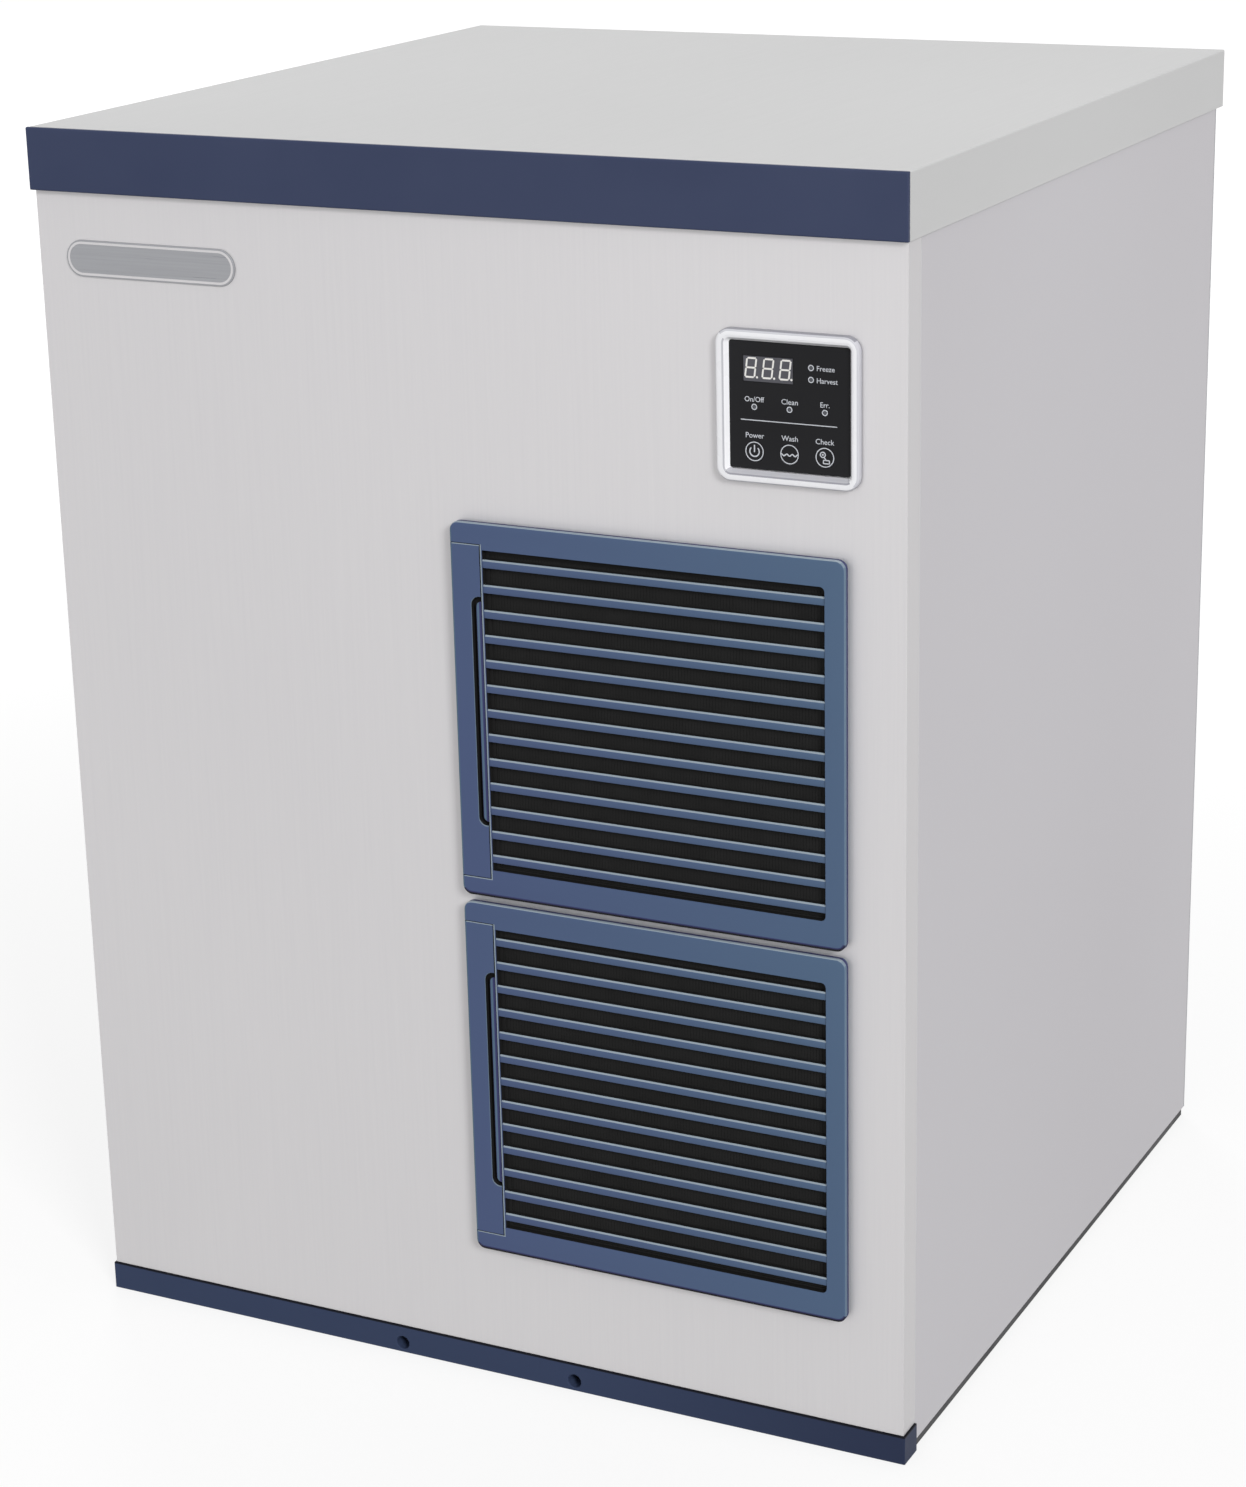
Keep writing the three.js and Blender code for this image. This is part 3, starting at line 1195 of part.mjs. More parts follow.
const suctionPipe = () => {
  const dropY = coilY + 2 * PIPE_OFFSET;
  const lowZ = suctionZ + SHELL_HEIGHT * 0.5;
  return pipe([
    [coilEnd + GAP, coilY, coilTop],
    [suctionX, coilY, coilTop],
    [suctionX, dropY, coilTop],
    [suctionX, dropY, lowZ],
    [suctionX, compressorY, lowZ],
    [suctionX, compressorY, suctionZ],
    [suctionEnd - GAP, compressorY, suctionZ],
  ], SUCTION_RADIUS, PIPE_BEND);
};

// Evaporator: a grid of tapered cells whose floors fall forward so the ice slides out
const evaporatorGrid = () => {
  const mouth = (CELL_PITCH - CELL_WALL) / 2;
  const deep = mouth - CELL_DRAFT;
  const ring = (x, y, z, size, low, high) => [
    [-size, low], [-size, high], [size, high], [size, low],
  ].map(([dx, dz]) => new THREE.Vector3(x + dx, y, z + dz));
  const cells = [];
  for (let row = 0; row < cellRows; row += 1) {
    for (let column = 0; column < cellColumns; column += 1) {
      const x = bayCentre - gridWidth / 2 + CELL_WALL / 2 + (column + 0.5) * CELL_PITCH;
      const z = evaporatorBottom + CELL_WALL / 2 + (row + 0.5) * CELL_PITCH;
      cells.push(loft([
        ring(x, evaporatorFront - GAP, z, mouth, -mouth, mouth),
        ring(x, evaporatorFront + CELL_DEPTH, z, deep, -mouth + CELL_FALL, deep),
      ]));
    }
  }
  const plate = block(
    spread(bayCentre, gridWidth),
    [evaporatorFront, evaporatorBack],
    [evaporatorBottom, evaporatorTop]);
  return cut(plate, ...cells);
};

// One serpentine tube behind the grid, both ends through the bulkhead
const evaporatorCoil = () => {
  const reach = gridWidth / 2 - PIPE_BEND - PIPE_RADIUS;
  const points = [[coilEnd, coilY, coilBottom]];
  coilHeights.forEach((z, i) => {
    const side = i % 2 === 0 ? -1 : 1;
    points.push([bayCentre + side * reach, coilY, z]);
    if (i < coilHeights.length - 1) points.push([bayCentre + side * reach, coilY, coilHeights[i + 1]]);
  });
  points[points.length - 1] = [coilEnd, coilY, coilTop];
  return pipe(points, PIPE_RADIUS, PIPE_BEND);
};

// Surround: two cheeks flanged to the walls, a top bridge, hinge sockets and ledges for the trough
const evaporatorSurround = () => {
  const inner = gridWidth / 2 + GAP;
  const cheekZ = [troughBottom - GAP - MOULD_WALL, evaporatorTop + CHEEK_RISE];
  const cheekY = [evaporatorFront - CHEEK_FRONT, evaporatorBack + CHEEK_BACK];
  const cheeks = [-1, 1].flatMap((side) => {
    const wall = side < 0 ? -postOuter : bulkheadLeft - GAP;
    const face = bayCentre + side * inner;
    const range = (a, b) => [Math.min(a, b), Math.max(a, b)];
    return [
      block(range(face, face + side * MOULD_WALL), cheekY, cheekZ),
      block(range(face, wall), [cheekY[1] - MOULD_WALL, cheekY[1]], cheekZ),
      block(
        range(face - side * LEDGE_WIDTH, face + side * MOULD_WALL),
        [evaporatorFront + TROUGH_SLOPE - TROUGH_SET + MOULD_WALL, cheekY[1]],
        [cheekZ[0], cheekZ[0] + MOULD_WALL]),
    ];
  });
  const bridge = block(
    spread(bayCentre, 2 * inner + MOULD_WALL),
    [pivotY + CURTAIN_SET * 0.6, cheekY[1]],
    [cheekZ[1] - MOULD_WALL, cheekZ[1]]);
  const sockets = rod(
    'x', CURTAIN_PIN + GAP, [bayCentre - inner - MOULD_WALL - OVERRUN, pivotY, pivotZ],
    2 * (inner + MOULD_WALL + OVERRUN));
  const coilPorts = [coilBottom, coilTop].map((z) => rod(
    'x', PIPE_RADIUS + GROMMET_ROOM, [bayCentre + inner - OVERRUN, coilY, z], MOULD_WALL + 2 * OVERRUN));
  return cut(join(...cheeks, bridge), sockets, ...coilPorts);
};

const waterDistributor = () => {
  const ys = spread(evaporatorFront, DISTRIBUTOR_DEPTH);
  const zs = [distributorBottom, distributorBottom + DISTRIBUTOR_HEIGHT];
  const inset = ([low, high]) => [low + MOULD_WALL, high - MOULD_WALL];
  const corner = DISTRIBUTOR_HEIGHT / 4;
  const body = sidePlate(rounded(ys, zs, corner), spread(bayCentre, gridWidth), 3);
  const spigot = rod(
    'y', TUBE_RADIUS, [bayCentre, evaporatorFront, distributorZ], DISTRIBUTOR_DEPTH / 2 + SPIGOT_LENGTH);
  const hollow = sidePlate(
    rounded(inset(ys), inset(zs), corner - MOULD_WALL / 2),
    spread(bayCentre, gridWidth - 2 * MOULD_WALL), 2);
  const holes = Array.from({ length: DISTRIBUTOR_HOLES }, (_, i) => {
    const x = bayCentre + gridWidth * ((i + 0.5) / DISTRIBUTOR_HOLES - 0.5);
    return rod(
      'z', MOULD_WALL / 2, [x, evaporatorFront - MOULD_WALL, zs[0] - OVERRUN], 2 * OVERRUN, PIPE_SIDES);
  });
  const bore = rod(
    'y', TUBE_RADIUS - FRAME_SHEET, [bayCentre, evaporatorFront, distributorZ],
    DISTRIBUTOR_DEPTH / 2 + SPIGOT_LENGTH + OVERRUN);
  return cut(join(body, spigot), hollow, bore, ...holes);
};

// Curtain: a ribbed sheet hanging on two pins, its foot bent back over the trough
const CURTAIN_RIB_SHARES = [-1, -0.33, 0.33, 1];

const waterCurtain = () => {
  const half = gridWidth / 2 - CURTAIN_SIDE_GAP;
  const front = pivotY - CURTAIN_SHEET / 2;
  const back = pivotY + CURTAIN_SHEET / 2;
  const foot = troughTop + CURTAIN_TUCK;
  const sheet = sidePlate(outline([
    [front, pivotZ],
    [front, foot + CURTAIN_SET],
    [front + CURTAIN_BEND, foot],
    [back + CURTAIN_BEND, foot],
    [back, foot + CURTAIN_SET],
    [back, pivotZ],
  ]), spread(bayCentre, 2 * half));
  const knuckle = rod('x', CURTAIN_KNUCKLE, [bayCentre - half, pivotY, pivotZ], 2 * half);
  const pin = gridWidth / 2 + GAP + MOULD_WALL;
  const pins = rod('x', CURTAIN_PIN, [bayCentre - pin, pivotY, pivotZ], 2 * pin);
  const ribs = CURTAIN_RIB_SHARES.map((share) => block(
    spread(bayCentre + share * (half - CURTAIN_KNUCKLE), CURTAIN_SHEET),
    [front - CURTAIN_SHEET, pivotY],
    [foot + CURTAIN_SET * 1.5, pivotZ]));
  return join(sheet, knuckle, pins, ...ribs);
};

// Trough with a sloped front so the ice slab clears it, and a drain spigot under the sump
const waterTrough = () => {
  const front = evaporatorFront - TROUGH_SET;
  const body = sidePlate(outline([
    [front, troughTop], [front, troughTop - MOULD_WALL], [front + TROUGH_SLOPE, troughBottom],
    [troughBack, troughBottom], [troughBack, troughTop],
  ]), spread(bayCentre, gridWidth));
  const hollow = sidePlate(outline([
    [front + MOULD_WALL, troughTop + OVERRUN],
    [front + MOULD_WALL, troughTop - MOULD_WALL],
    [front + TROUGH_SLOPE + MOULD_WALL, troughBottom + MOULD_WALL],
    [troughBack - MOULD_WALL, troughBottom + MOULD_WALL],
    [troughBack - MOULD_WALL, troughTop + OVERRUN],
  ]), spread(bayCentre, gridWidth - 2 * MOULD_WALL));
  const spigot = rod(
    'z', SPIGOT_RADIUS, [drainX, drainY, troughBottom - SPIGOT_LENGTH], SPIGOT_LENGTH + MOULD_WALL / 2);
  const bore = rod(
    'z', SPIGOT_BORE, [drainX, drainY, troughBottom - SPIGOT_LENGTH - OVERRUN],
    SPIGOT_LENGTH + 2 * OVERRUN + MOULD_WALL);
  return cut(join(cut(body, hollow), spigot), bore);
};

// Pump: a plate across the trough with the stem and volute under it, a motor on top, an impeller on its shaft
const pumpHousing = () => {
  const plate = block(
    spread(bayCentre, gridWidth),
    [pumpY - PLATE_FRONT, pumpY + PLATE_BACK],
    [troughTop + GAP, plateTop]);
  const stem = rod('z', PUMP_STEM_RADIUS, [bayCentre, pumpY, voluteTop - GAP], plateTop - voluteTop);
  const volute = rod('z', VOLUTE_RADIUS, [bayCentre, pumpY, voluteBottom], VOLUTE_HEIGHT, ROUND_SIDES);
  const outletStart = pumpY + VOLUTE_RADIUS * 0.8;
  const spigot = rod(
    'y', TUBE_RADIUS, [bayCentre, outletStart, spigotZ], spigotEnd - outletStart);
  const chamber = rod(
    'z', IMPELLER_RADIUS + IMPELLER_ROOM, [bayCentre, pumpY, voluteBottom + MOULD_WALL],
    VOLUTE_HEIGHT - 2 * MOULD_WALL, ROUND_SIDES);
  const eye = rod('z', IMPELLER_RADIUS / 2, [bayCentre, pumpY, voluteBottom - OVERRUN], 2 * OVERRUN);
  const shaftBore = rod(
    'z', PUMP_SHAFT_RADIUS + SHAFT_ROOM, [bayCentre, pumpY, voluteTop - 2 * MOULD_WALL],
    plateTop - voluteTop + 3 * MOULD_WALL);
  const outlet = rod(
    'y', TUBE_RADIUS - FRAME_SHEET, [bayCentre, pumpY + IMPELLER_RADIUS, spigotZ],
    spigotEnd - pumpY);
  const floatHole = rod(
    'z', FLOAT_STEM_RADIUS + GAP, [bayCentre, floatY, troughTop - OVERRUN], 3 * OVERRUN);
  return cut(join(plate, stem, volute, spigot), chamber, eye, shaftBore, outlet, floatHole);
};

const pumpMotor = () => cut(
  turned([
    [0, 0], [PUMP_MOTOR_RADIUS, 0], [PUMP_MOTOR_RADIUS, PUMP_MOTOR_HEIGHT * 0.16],
    [PUMP_MOTOR_RADIUS * 0.92, PUMP_MOTOR_HEIGHT * 0.2], [PUMP_MOTOR_RADIUS * 0.92, PUMP_MOTOR_HEIGHT * 0.84],
    [PUMP_MOTOR_RADIUS * 0.74, PUMP_MOTOR_HEIGHT], [0, PUMP_MOTOR_HEIGHT],
  ], [bayCentre, pumpY, plateTop + GAP], ROUND_SIDES),
  rod(
    'z', PUMP_SHAFT_RADIUS + GAP, [bayCentre, pumpY, plateTop - OVERRUN],
    OVERRUN + PUMP_MOTOR_HEIGHT / 3));

const pumpImpeller = () => {
  const base = voluteBottom + MOULD_WALL + SHAFT_ROOM;
  const disc = base + IMPELLER_HEIGHT - FRAME_SHEET;
  const vanes = Array.from({ length: IMPELLER_VANES }, (_, i) => (
    block([0, IMPELLER_RADIUS], spread(0, FRAME_SHEET), [base, disc + FRAME_SHEET / 2])
      .rotateZ(i * 2 * Math.PI / IMPELLER_VANES)
      .translate(bayCentre, pumpY, 0)));
  return join(
    rod('z', IMPELLER_RADIUS, [bayCentre, pumpY, disc], FRAME_SHEET, ROUND_SIDES),
    rod('z', PUMP_SHAFT_RADIUS, [bayCentre, pumpY, base], plateTop + PUMP_MOTOR_HEIGHT / 3 - GAP - base),
    ...vanes);
};

const distributorTube = () => pipe([
  [bayCentre, spigotEnd + GAP, spigotZ],
  [bayCentre, tubeY, spigotZ],
  [bayCentre, tubeY, distributorZ],
  [bayCentre, evaporatorFront + DISTRIBUTOR_DEPTH / 2 + SPIGOT_LENGTH + GAP, distributorZ],
], TUBE_RADIUS, TUBE_BEND, STUB_SIDES);

// Level float: a stem hung from the pump plate, and the float that rides on it above its clip
const floatStem = () => join(
  rod('z', FLOAT_STEM_RADIUS, [bayCentre, floatY, clipBottom], plateTop + 2 * GAP - clipBottom),
  rod('z', FLOAT_STEM_RADIUS * 1.8, [bayCentre, floatY, clipBottom], FLOAT_CLIP),
  rod('z', FLOAT_STEM_RADIUS * 2, [bayCentre, floatY, plateTop + GAP], FLOAT_CLIP * 2, HEX));

const waterFloat = () => {
  const bore = FLOAT_STEM_RADIUS + GAP;
  return turned([
    [bore, 0], [FLOAT_RADIUS * 0.85, 0], [FLOAT_RADIUS, FLOAT_HEIGHT * 0.15],
    [FLOAT_RADIUS, FLOAT_HEIGHT * 0.85], [FLOAT_RADIUS * 0.85, FLOAT_HEIGHT], [bore, FLOAT_HEIGHT], [bore, 0],
  ], [bayCentre, floatY, clipBottom + FLOAT_CLIP + GAP]);
};

// Rear services
const waterInletValve = () => {
  const back = rearInside - GAP;
  const front = back - VALVE_SIZE;
  const coil = VALVE_SIZE * 0.8;
  const body = block(spread(inletX, VALVE_SIZE), [front, back], spread(inletZ, VALVE_SIZE));
  const inlet = rod(
    'y', THREAD_RADIUS, [inletX, back - OVERRUN, inletZ], rearFace + THREAD_LENGTH - back + OVERRUN);
  const bore = rod('y', THREAD_RADIUS * 0.6, [inletX, back, inletZ], rearFace + THREAD_LENGTH);
  const outlet = rod(
    'y', TUBE_RADIUS, [inletX, front - SPIGOT_LENGTH, inletZ], SPIGOT_LENGTH + OVERRUN);
  const solenoid = planPlate(
    rounded(spread(inletX, coil), spread((front + back) / 2, coil), VALVE_SIZE * 0.15),
    [inletZ + VALVE_SIZE / 2 - GAP, inletZ + VALVE_SIZE * 1.3], 3);
  return cut(join(body, inlet, outlet, solenoid), bore);
};

const fillTube = () => {
  const fillY = (pumpY + PLATE_BACK + troughBack - MOULD_WALL) / 2;
  return pipe([
    [inletX, rearInside - GAP - VALVE_SIZE - SPIGOT_LENGTH - GAP, inletZ],
    [inletX, fillY, inletZ],
    [inletX, fillY, troughTop - TROUGH_HEIGHT / 4],
  ], LIQUID_RADIUS * 1.5, TUBE_BEND);
};

const drainTube = () => pipe([
  [drainX, drainY, troughBottom - SPIGOT_LENGTH - GAP],
  [drainX, drainY, DRAIN_HEIGHT],
  [drainX, rearFace + THREAD_LENGTH, DRAIN_HEIGHT],
], SPIGOT_RADIUS, TUBE_BEND, STUB_SIDES);

// Cord gland: two hex nuts on a threaded body that is bored for the cord
const powerGland = () => {
  const nut = GLAND_RADIUS * 0.4;
  return cut(
    join(
      rod('y', GLAND_RADIUS, [glandX, rearInside - GAP - nut, GLAND_HEIGHT], nut, HEX),
      rod('y', GLAND_RADIUS, [glandX, rearFace + GAP, GLAND_HEIGHT], nut, HEX),
      rod(
        'y', THREAD_RADIUS, [glandX, rearInside - GAP - 2 * nut, GLAND_HEIGHT],
        2 * nut + SHEET + THREAD_LENGTH)),
    rod('y', THREAD_RADIUS * 0.5, [glandX, rearInside - 3 * nut, GLAND_HEIGHT], 6 * nut));
};

// Electrical box, open to the front, and its lid
const boxX = [bulkheadRight + GAP, wallInside - BOX_SIDE_ROOM];
const BOX_PORT_SHARES = [0.25, 0.75];

const electricalBox = () => {
  const ys = [BOX_SETBACK, BOX_SETBACK + BOX_DEPTH];
  const inset = ([low, high]) => [low + FRAME_SHEET, high - FRAME_SHEET];
  return cut(
    block(boxX, ys, [boxBottom, boxTop]),
    block(inset(boxX), [ys[0] - OVERRUN, ys[1] - FRAME_SHEET], inset([boxBottom, boxTop])),
    ...BOX_PORT_SHARES.map((share) => rod(
      'z', THREAD_RADIUS,
      [boxX[0] + (boxX[1] - boxX[0]) * share, (ys[0] + ys[1]) / 2, boxBottom - OVERRUN],
      2 * OVERRUN)));
};

const electricalLid = () => block(
  boxX,
  [BOX_SETBACK - GAP - FRAME_SHEET, BOX_SETBACK - GAP],
  [boxBottom, boxTop]);

// Assembly
add('top_cover', topCover(), STAINLESS);
add('top_front_band', frontBand(), NAVY);
add('front_panel', frontPanel(), STAINLESS);
add('left_side_panel', sidePanel(-1), STAINLESS);
add('right_side_panel', sidePanel(1), STAINLESS);
add('rear_panel', rearPanel(), GALVANISED);
add('base_pan', basePan(), BLACK);
add('base_front_trim', baseTrim(), NAVY);
add('trim_screw_left', trimScrew(trimScrewXs[0]), ENAMEL);
add('trim_screw_right', trimScrew(trimScrewXs[1]), ENAMEL);
add('front_frame', frontFrame(), GALVANISED);
add('bulkhead', bulkhead(), GALVANISED);
['lower', 'upper'].forEach((level, i) => {
  add(`${level}_grille`, grille(grilleCentres[i]), SLATE_BLUE);
  add(`${level}_filter_frame`, filterFrame(grilleCentres[i]), SLATE_BLUE);
  add(`${level}_filter_mesh`, filterMesh(grilleCentres[i]), BLACK);
});
add('control_bezel', controlBezel(), SILVER);
add('control_overlay', controlOverlay(), BLACK);
add('display_window', displayWindow(), CLEAR);
['power', 'wash', 'check'].forEach((use, i) => add(`key_${use}`, key(keyXs[i]), BLACK));
add('control_board', controlBoard(), BOARD_GREEN);
add('condenser', condenser(), ALUMINIUM);
add('fan_shroud', fanShroud(), GALVANISED);
add('fan_bracket', fanBracket(), GALVANISED);
add('fan_motor', fanMotor(), ENAMEL);
add('fan_shaft', fanShaft(), ALUMINIUM);
add('fan_blade', fanBlade(), ALUMINIUM);
add('compressor', compressor(), ENAMEL);
add('compressor_terminal_cover', terminalCover(), BLACK);
add('filter_drier', filterDrier(), COPPER);
add('expansion_valve', expansionValve(), BRASS);
add('hot_gas_valve', hotGasValve(), BRASS);
add('discharge_pipe', dischargePipe(), COPPER);
add('hot_gas_pipe', hotGasPipe(), COPPER);
add('expansion_pipe', expansionPipe(), COPPER);
add('drier_pipe', drierPipe(), COPPER);
add('liquid_pipe', liquidPipe(), COPPER);
add('suction_pipe', suctionPipe(), COPPER);
add('evaporator_grid', evaporatorGrid(), ALUMINIUM);
add('evaporator_coil', evaporatorCoil(), COPPER);
add('evaporator_surround', evaporatorSurround(), WHITE);
add('water_distributor', waterDistributor(), WHITE);
add('water_curtain', waterCurtain(), CLEAR);
add('water_trough', waterTrough(), WHITE);
add('pump_housing', pumpHousing(), WHITE);
add('pump_motor', pumpMotor(), ENAMEL);
add('pump_impeller', pumpImpeller(), WHITE);
add('distributor_tube', distributorTube(), CLEAR);
add('float_stem', floatStem(), WHITE);
add('water_float', waterFloat(), WHITE);
add('water_inlet_valve', waterInletValve(), WHITE);
add('fill_tube', fillTube(), CLEAR);
add('drain_tube', drainTube(), CLEAR);
add('power_gland', powerGland(), BLACK);
add('electrical_box', electricalBox(), GALVANISED);
add('electrical_lid', electricalLid(), GALVANISED);

// The origin is the middle of the footprint, on the floor
iceMaker.position.y = -(grilleFront + DEPTH) / 2;

export default iceMaker;
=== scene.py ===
import json
import math

import bmesh
import bpy
from mathutils import Matrix, Vector


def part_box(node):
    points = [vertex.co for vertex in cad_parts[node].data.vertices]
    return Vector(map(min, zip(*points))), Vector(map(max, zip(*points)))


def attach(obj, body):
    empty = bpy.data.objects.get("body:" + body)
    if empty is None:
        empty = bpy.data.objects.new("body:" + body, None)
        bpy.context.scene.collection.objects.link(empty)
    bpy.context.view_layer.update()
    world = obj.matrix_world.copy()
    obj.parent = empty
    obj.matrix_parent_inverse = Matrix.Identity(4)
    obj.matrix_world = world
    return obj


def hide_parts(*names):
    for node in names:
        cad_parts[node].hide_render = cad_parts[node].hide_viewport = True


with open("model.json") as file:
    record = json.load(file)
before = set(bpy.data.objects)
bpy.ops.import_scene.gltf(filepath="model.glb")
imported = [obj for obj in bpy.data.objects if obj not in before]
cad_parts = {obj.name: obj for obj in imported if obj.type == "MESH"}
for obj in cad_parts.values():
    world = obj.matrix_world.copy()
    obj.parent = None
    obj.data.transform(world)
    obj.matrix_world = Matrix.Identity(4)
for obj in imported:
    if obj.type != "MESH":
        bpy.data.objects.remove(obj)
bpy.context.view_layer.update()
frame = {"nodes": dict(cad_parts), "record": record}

scene = bpy.context.scene
scene.view_settings.view_transform = "Standard"

MM = 0.001
FRONT_SHIFT = -278.15  # part y to row y, in mm
WIDTH, DEPTH, HEIGHT = 560, 560, 762  # the cabinet without its grilles, in mm


def place(x, y, z):
    """A point given in the part's own millimetres, in the row frame's metres."""
    return Vector((x * MM, (y + FRONT_SHIFT) * MM, z * MM))


def directions(start, sweep, count):
    """Unit directions (x, z) from start over sweep degrees, in count steps."""
    angles = [math.radians(start + sweep * i / count) for i in range(count + 1)]
    return [(math.cos(a), math.sin(a)) for a in angles]


# Camera: the one solved from the photograph's edges
IMAGE_LONG = 1487
FOCAL_PIXELS = 3387.5
CAMERA_AT = (0.9375, -1.92275, 1.0301)
AZIMUTH, ELEVATION, ROLL = (math.radians(v) for v in (26.814, 18.105, -1.314))


def make_camera():
    data = bpy.data.cameras.new("camera")
    data.sensor_width = 36
    data.lens = FOCAL_PIXELS * data.sensor_width / IMAGE_LONG
    data.clip_start, data.clip_end = 0.05, 100
    back = Vector((
        math.sin(AZIMUTH) * math.cos(ELEVATION),
        -math.cos(AZIMUTH) * math.cos(ELEVATION),
        math.sin(ELEVATION)))
    side = Vector((math.cos(AZIMUTH), math.sin(AZIMUTH), 0))
    up = back.cross(side)
    right = side * math.cos(ROLL) + up * math.sin(ROLL)
    top = up * math.cos(ROLL) - side * math.sin(ROLL)
    turn = Matrix((right, top, back)).transposed().to_4x4()
    camera = bpy.data.objects.new("camera", data)
    camera.matrix_world = Matrix.Translation(CAMERA_AT) @ turn
    scene.collection.objects.link(camera)
    scene.camera = camera


make_camera()


# Materials
NOISE_LOW, NOISE_HIGH = 0.3, 0.7  # most of a noise map's values lie between these


def linear(red, green, blue):
    """A colour written as 0 to 255, as the linear values that sockets take."""
    def one(v):
        v /= 255
        return v / 12.92 if v <= 0.04045 else ((v + 0.055) / 1.055) ** 2.4
    return (one(red), one(green), one(blue), 1)


class Nodes:
    """A node tree with its output node, and short ways to fill it."""

    def __init__(self, tree, output):
        self.tree = tree
        self.tree.nodes.clear()
        self.output = self.add(output)

    def add(self, kind, **values):
        node = self.tree.nodes.new(kind)
        for key, value in values.items():
            setattr(node, key, value)
        return node

    def link(self, start, end):
        self.tree.links.new(start, end)

    def put(self, value, socket):
        """Gives a socket a constant, or joins it to another node's output."""
        if isinstance(value, (int, float, tuple)):
            socket.default_value = value
        else:
            self.link(value, socket)

    def maths(self, kind, *values):
        node = self.add("ShaderNodeMath", operation=kind)
        for value, socket in zip(values, node.inputs):
            self.put(value, socket)
        return node.outputs[0]

    def spread(self, value, start, end, low, high, **settings):
        """A number that runs from low to high as the value goes from start to end."""
        node = self.add("ShaderNodeMapRange", **settings)
        for key, number in (("From Min", start), ("From Max", end), ("To Min", low), ("To Max", high)):
            node.inputs[key].default_value = number
        self.link(value, node.inputs[0])
        return node.outputs[0]


class Shader(Nodes):
    """A Principled material whose maps are made from noise in the object's own space."""

    def __init__(self, name, colour, metallic, roughness, **sockets):
        self.material = bpy.data.materials.new(name)
        self.material.use_nodes = True
        super().__init__(self.material.node_tree, "ShaderNodeOutputMaterial")
        self.base = self.add("ShaderNodeBsdfPrincipled")
        self.link(self.base.outputs[0], self.output.inputs[0])
        self.base.inputs["Base Color"].default_value = linear(*colour)
        self.base.inputs["Metallic"].default_value = metallic
        self.base.inputs["Roughness"].default_value = roughness
        for socket, value in sockets.items():
            self.base.inputs[socket.replace("_", " ")].default_value = value
        self.material.diffuse_color = linear(*colour)

    def space(self, stretch=(1, 1, 1)):
        coords = self.add("ShaderNodeTexCoord")
        mapping = self.add("ShaderNodeMapping")
        mapping.inputs["Scale"].default_value = stretch
        self.link(coords.outputs["Object"], mapping.inputs[0])
        return mapping.outputs[0]

    def places(self):
        """The object's own x, y and z."""
        split = self.add("ShaderNodeSeparateXYZ")
        self.link(self.space(), split.inputs[0])
        return split.outputs

    def noise(self, scale, stretch=(1, 1, 1), detail=2.0, rough=0.5):
        node = self.add("ShaderNodeTexNoise")
        node.inputs["Scale"].default_value = scale
        node.inputs["Detail"].default_value = detail
        node.inputs["Roughness"].default_value = rough
        self.link(self.space(stretch), node.inputs["Vector"])
        return node.outputs[0]

    def ramp(self, value, low, high, start=NOISE_LOW, end=NOISE_HIGH):
        """A colour that runs between two as a map goes from start to end."""
        node = self.add("ShaderNodeValToRGB")
        ends = node.color_ramp.elements
        ends[0].position, ends[0].color = start, linear(*low)
        ends[1].position, ends[1].color = end, linear(*high)
        self.link(value, node.inputs[0])
        return node.outputs[0]

    def mix(self, share, first, second):
        """A mix of two colours, the second by share."""
        node = self.add("ShaderNodeMix", data_type="RGBA")
        for value, socket in zip((share, first, second), (0, 6, 7)):
            self.put(value, node.inputs[socket])
        return node.outputs[2]

    def paint(self, colour):
        self.link(colour, self.base.inputs["Base Color"])

    def polish(self, value, low, high):
        """Roughness runs between two values over a noise map."""
        self.link(self.spread(value, NOISE_LOW, NOISE_HIGH, low, high), self.base.inputs["Roughness"])

    def bump(self, value, depth, strength):
        """Relief of that depth in millimetres."""
        node = self.add("ShaderNodeBump")
        node.inputs["Strength"].default_value = strength
        node.inputs["Distance"].default_value = depth * MM
        self.link(value, node.inputs["Height"])
        self.link(node.outputs[0], self.base.inputs["Normal"])


def steel(name, low, high, grain, roughness):
    """Brushed sheet: fine streaks along one axis, broad soft clouds over them."""
    shade = Shader(name, low, 0.3, roughness)
    streaks = shade.noise(1, grain, 3, 0.6)
    clouds = shade.noise(2.4, (1, 1, 0.7), 1)
    shade.paint(shade.mix(0.5, shade.ramp(streaks, low, high, 0.25, 0.75), shade.ramp(clouds, low, high)))
    shade.polish(streaks, roughness - 0.05, roughness + 0.06)
    shade.bump(streaks, 0.012, 0.35)
    return shade.material


ACROSS_GRAIN, ALONG_GRAIN = 900, 14
ALONG_Z = (ACROSS_GRAIN, ACROSS_GRAIN, ALONG_GRAIN)
ALONG_Y = (ACROSS_GRAIN, ALONG_GRAIN, ACROSS_GRAIN)
ALONG_X = (ALONG_GRAIN, ACROSS_GRAIN, ACROSS_GRAIN)
front_steel = steel("front_steel", (205, 203, 205), (213, 211, 212), ALONG_Z, 0.48)
# The side and top sheets take the front's brushed steel a shade darker: painted shade.
shaded_side_steel = steel("shaded_side_steel", (198, 195, 199), (205, 203, 207), ALONG_Z, 0.48)
shaded_top_steel = steel("shaded_top_steel", (198, 198, 198), (205, 205, 205), ALONG_Y, 0.42)
plate_steel = steel("plate_steel", (150, 151, 155), (170, 171, 175), ALONG_X, 0.32)


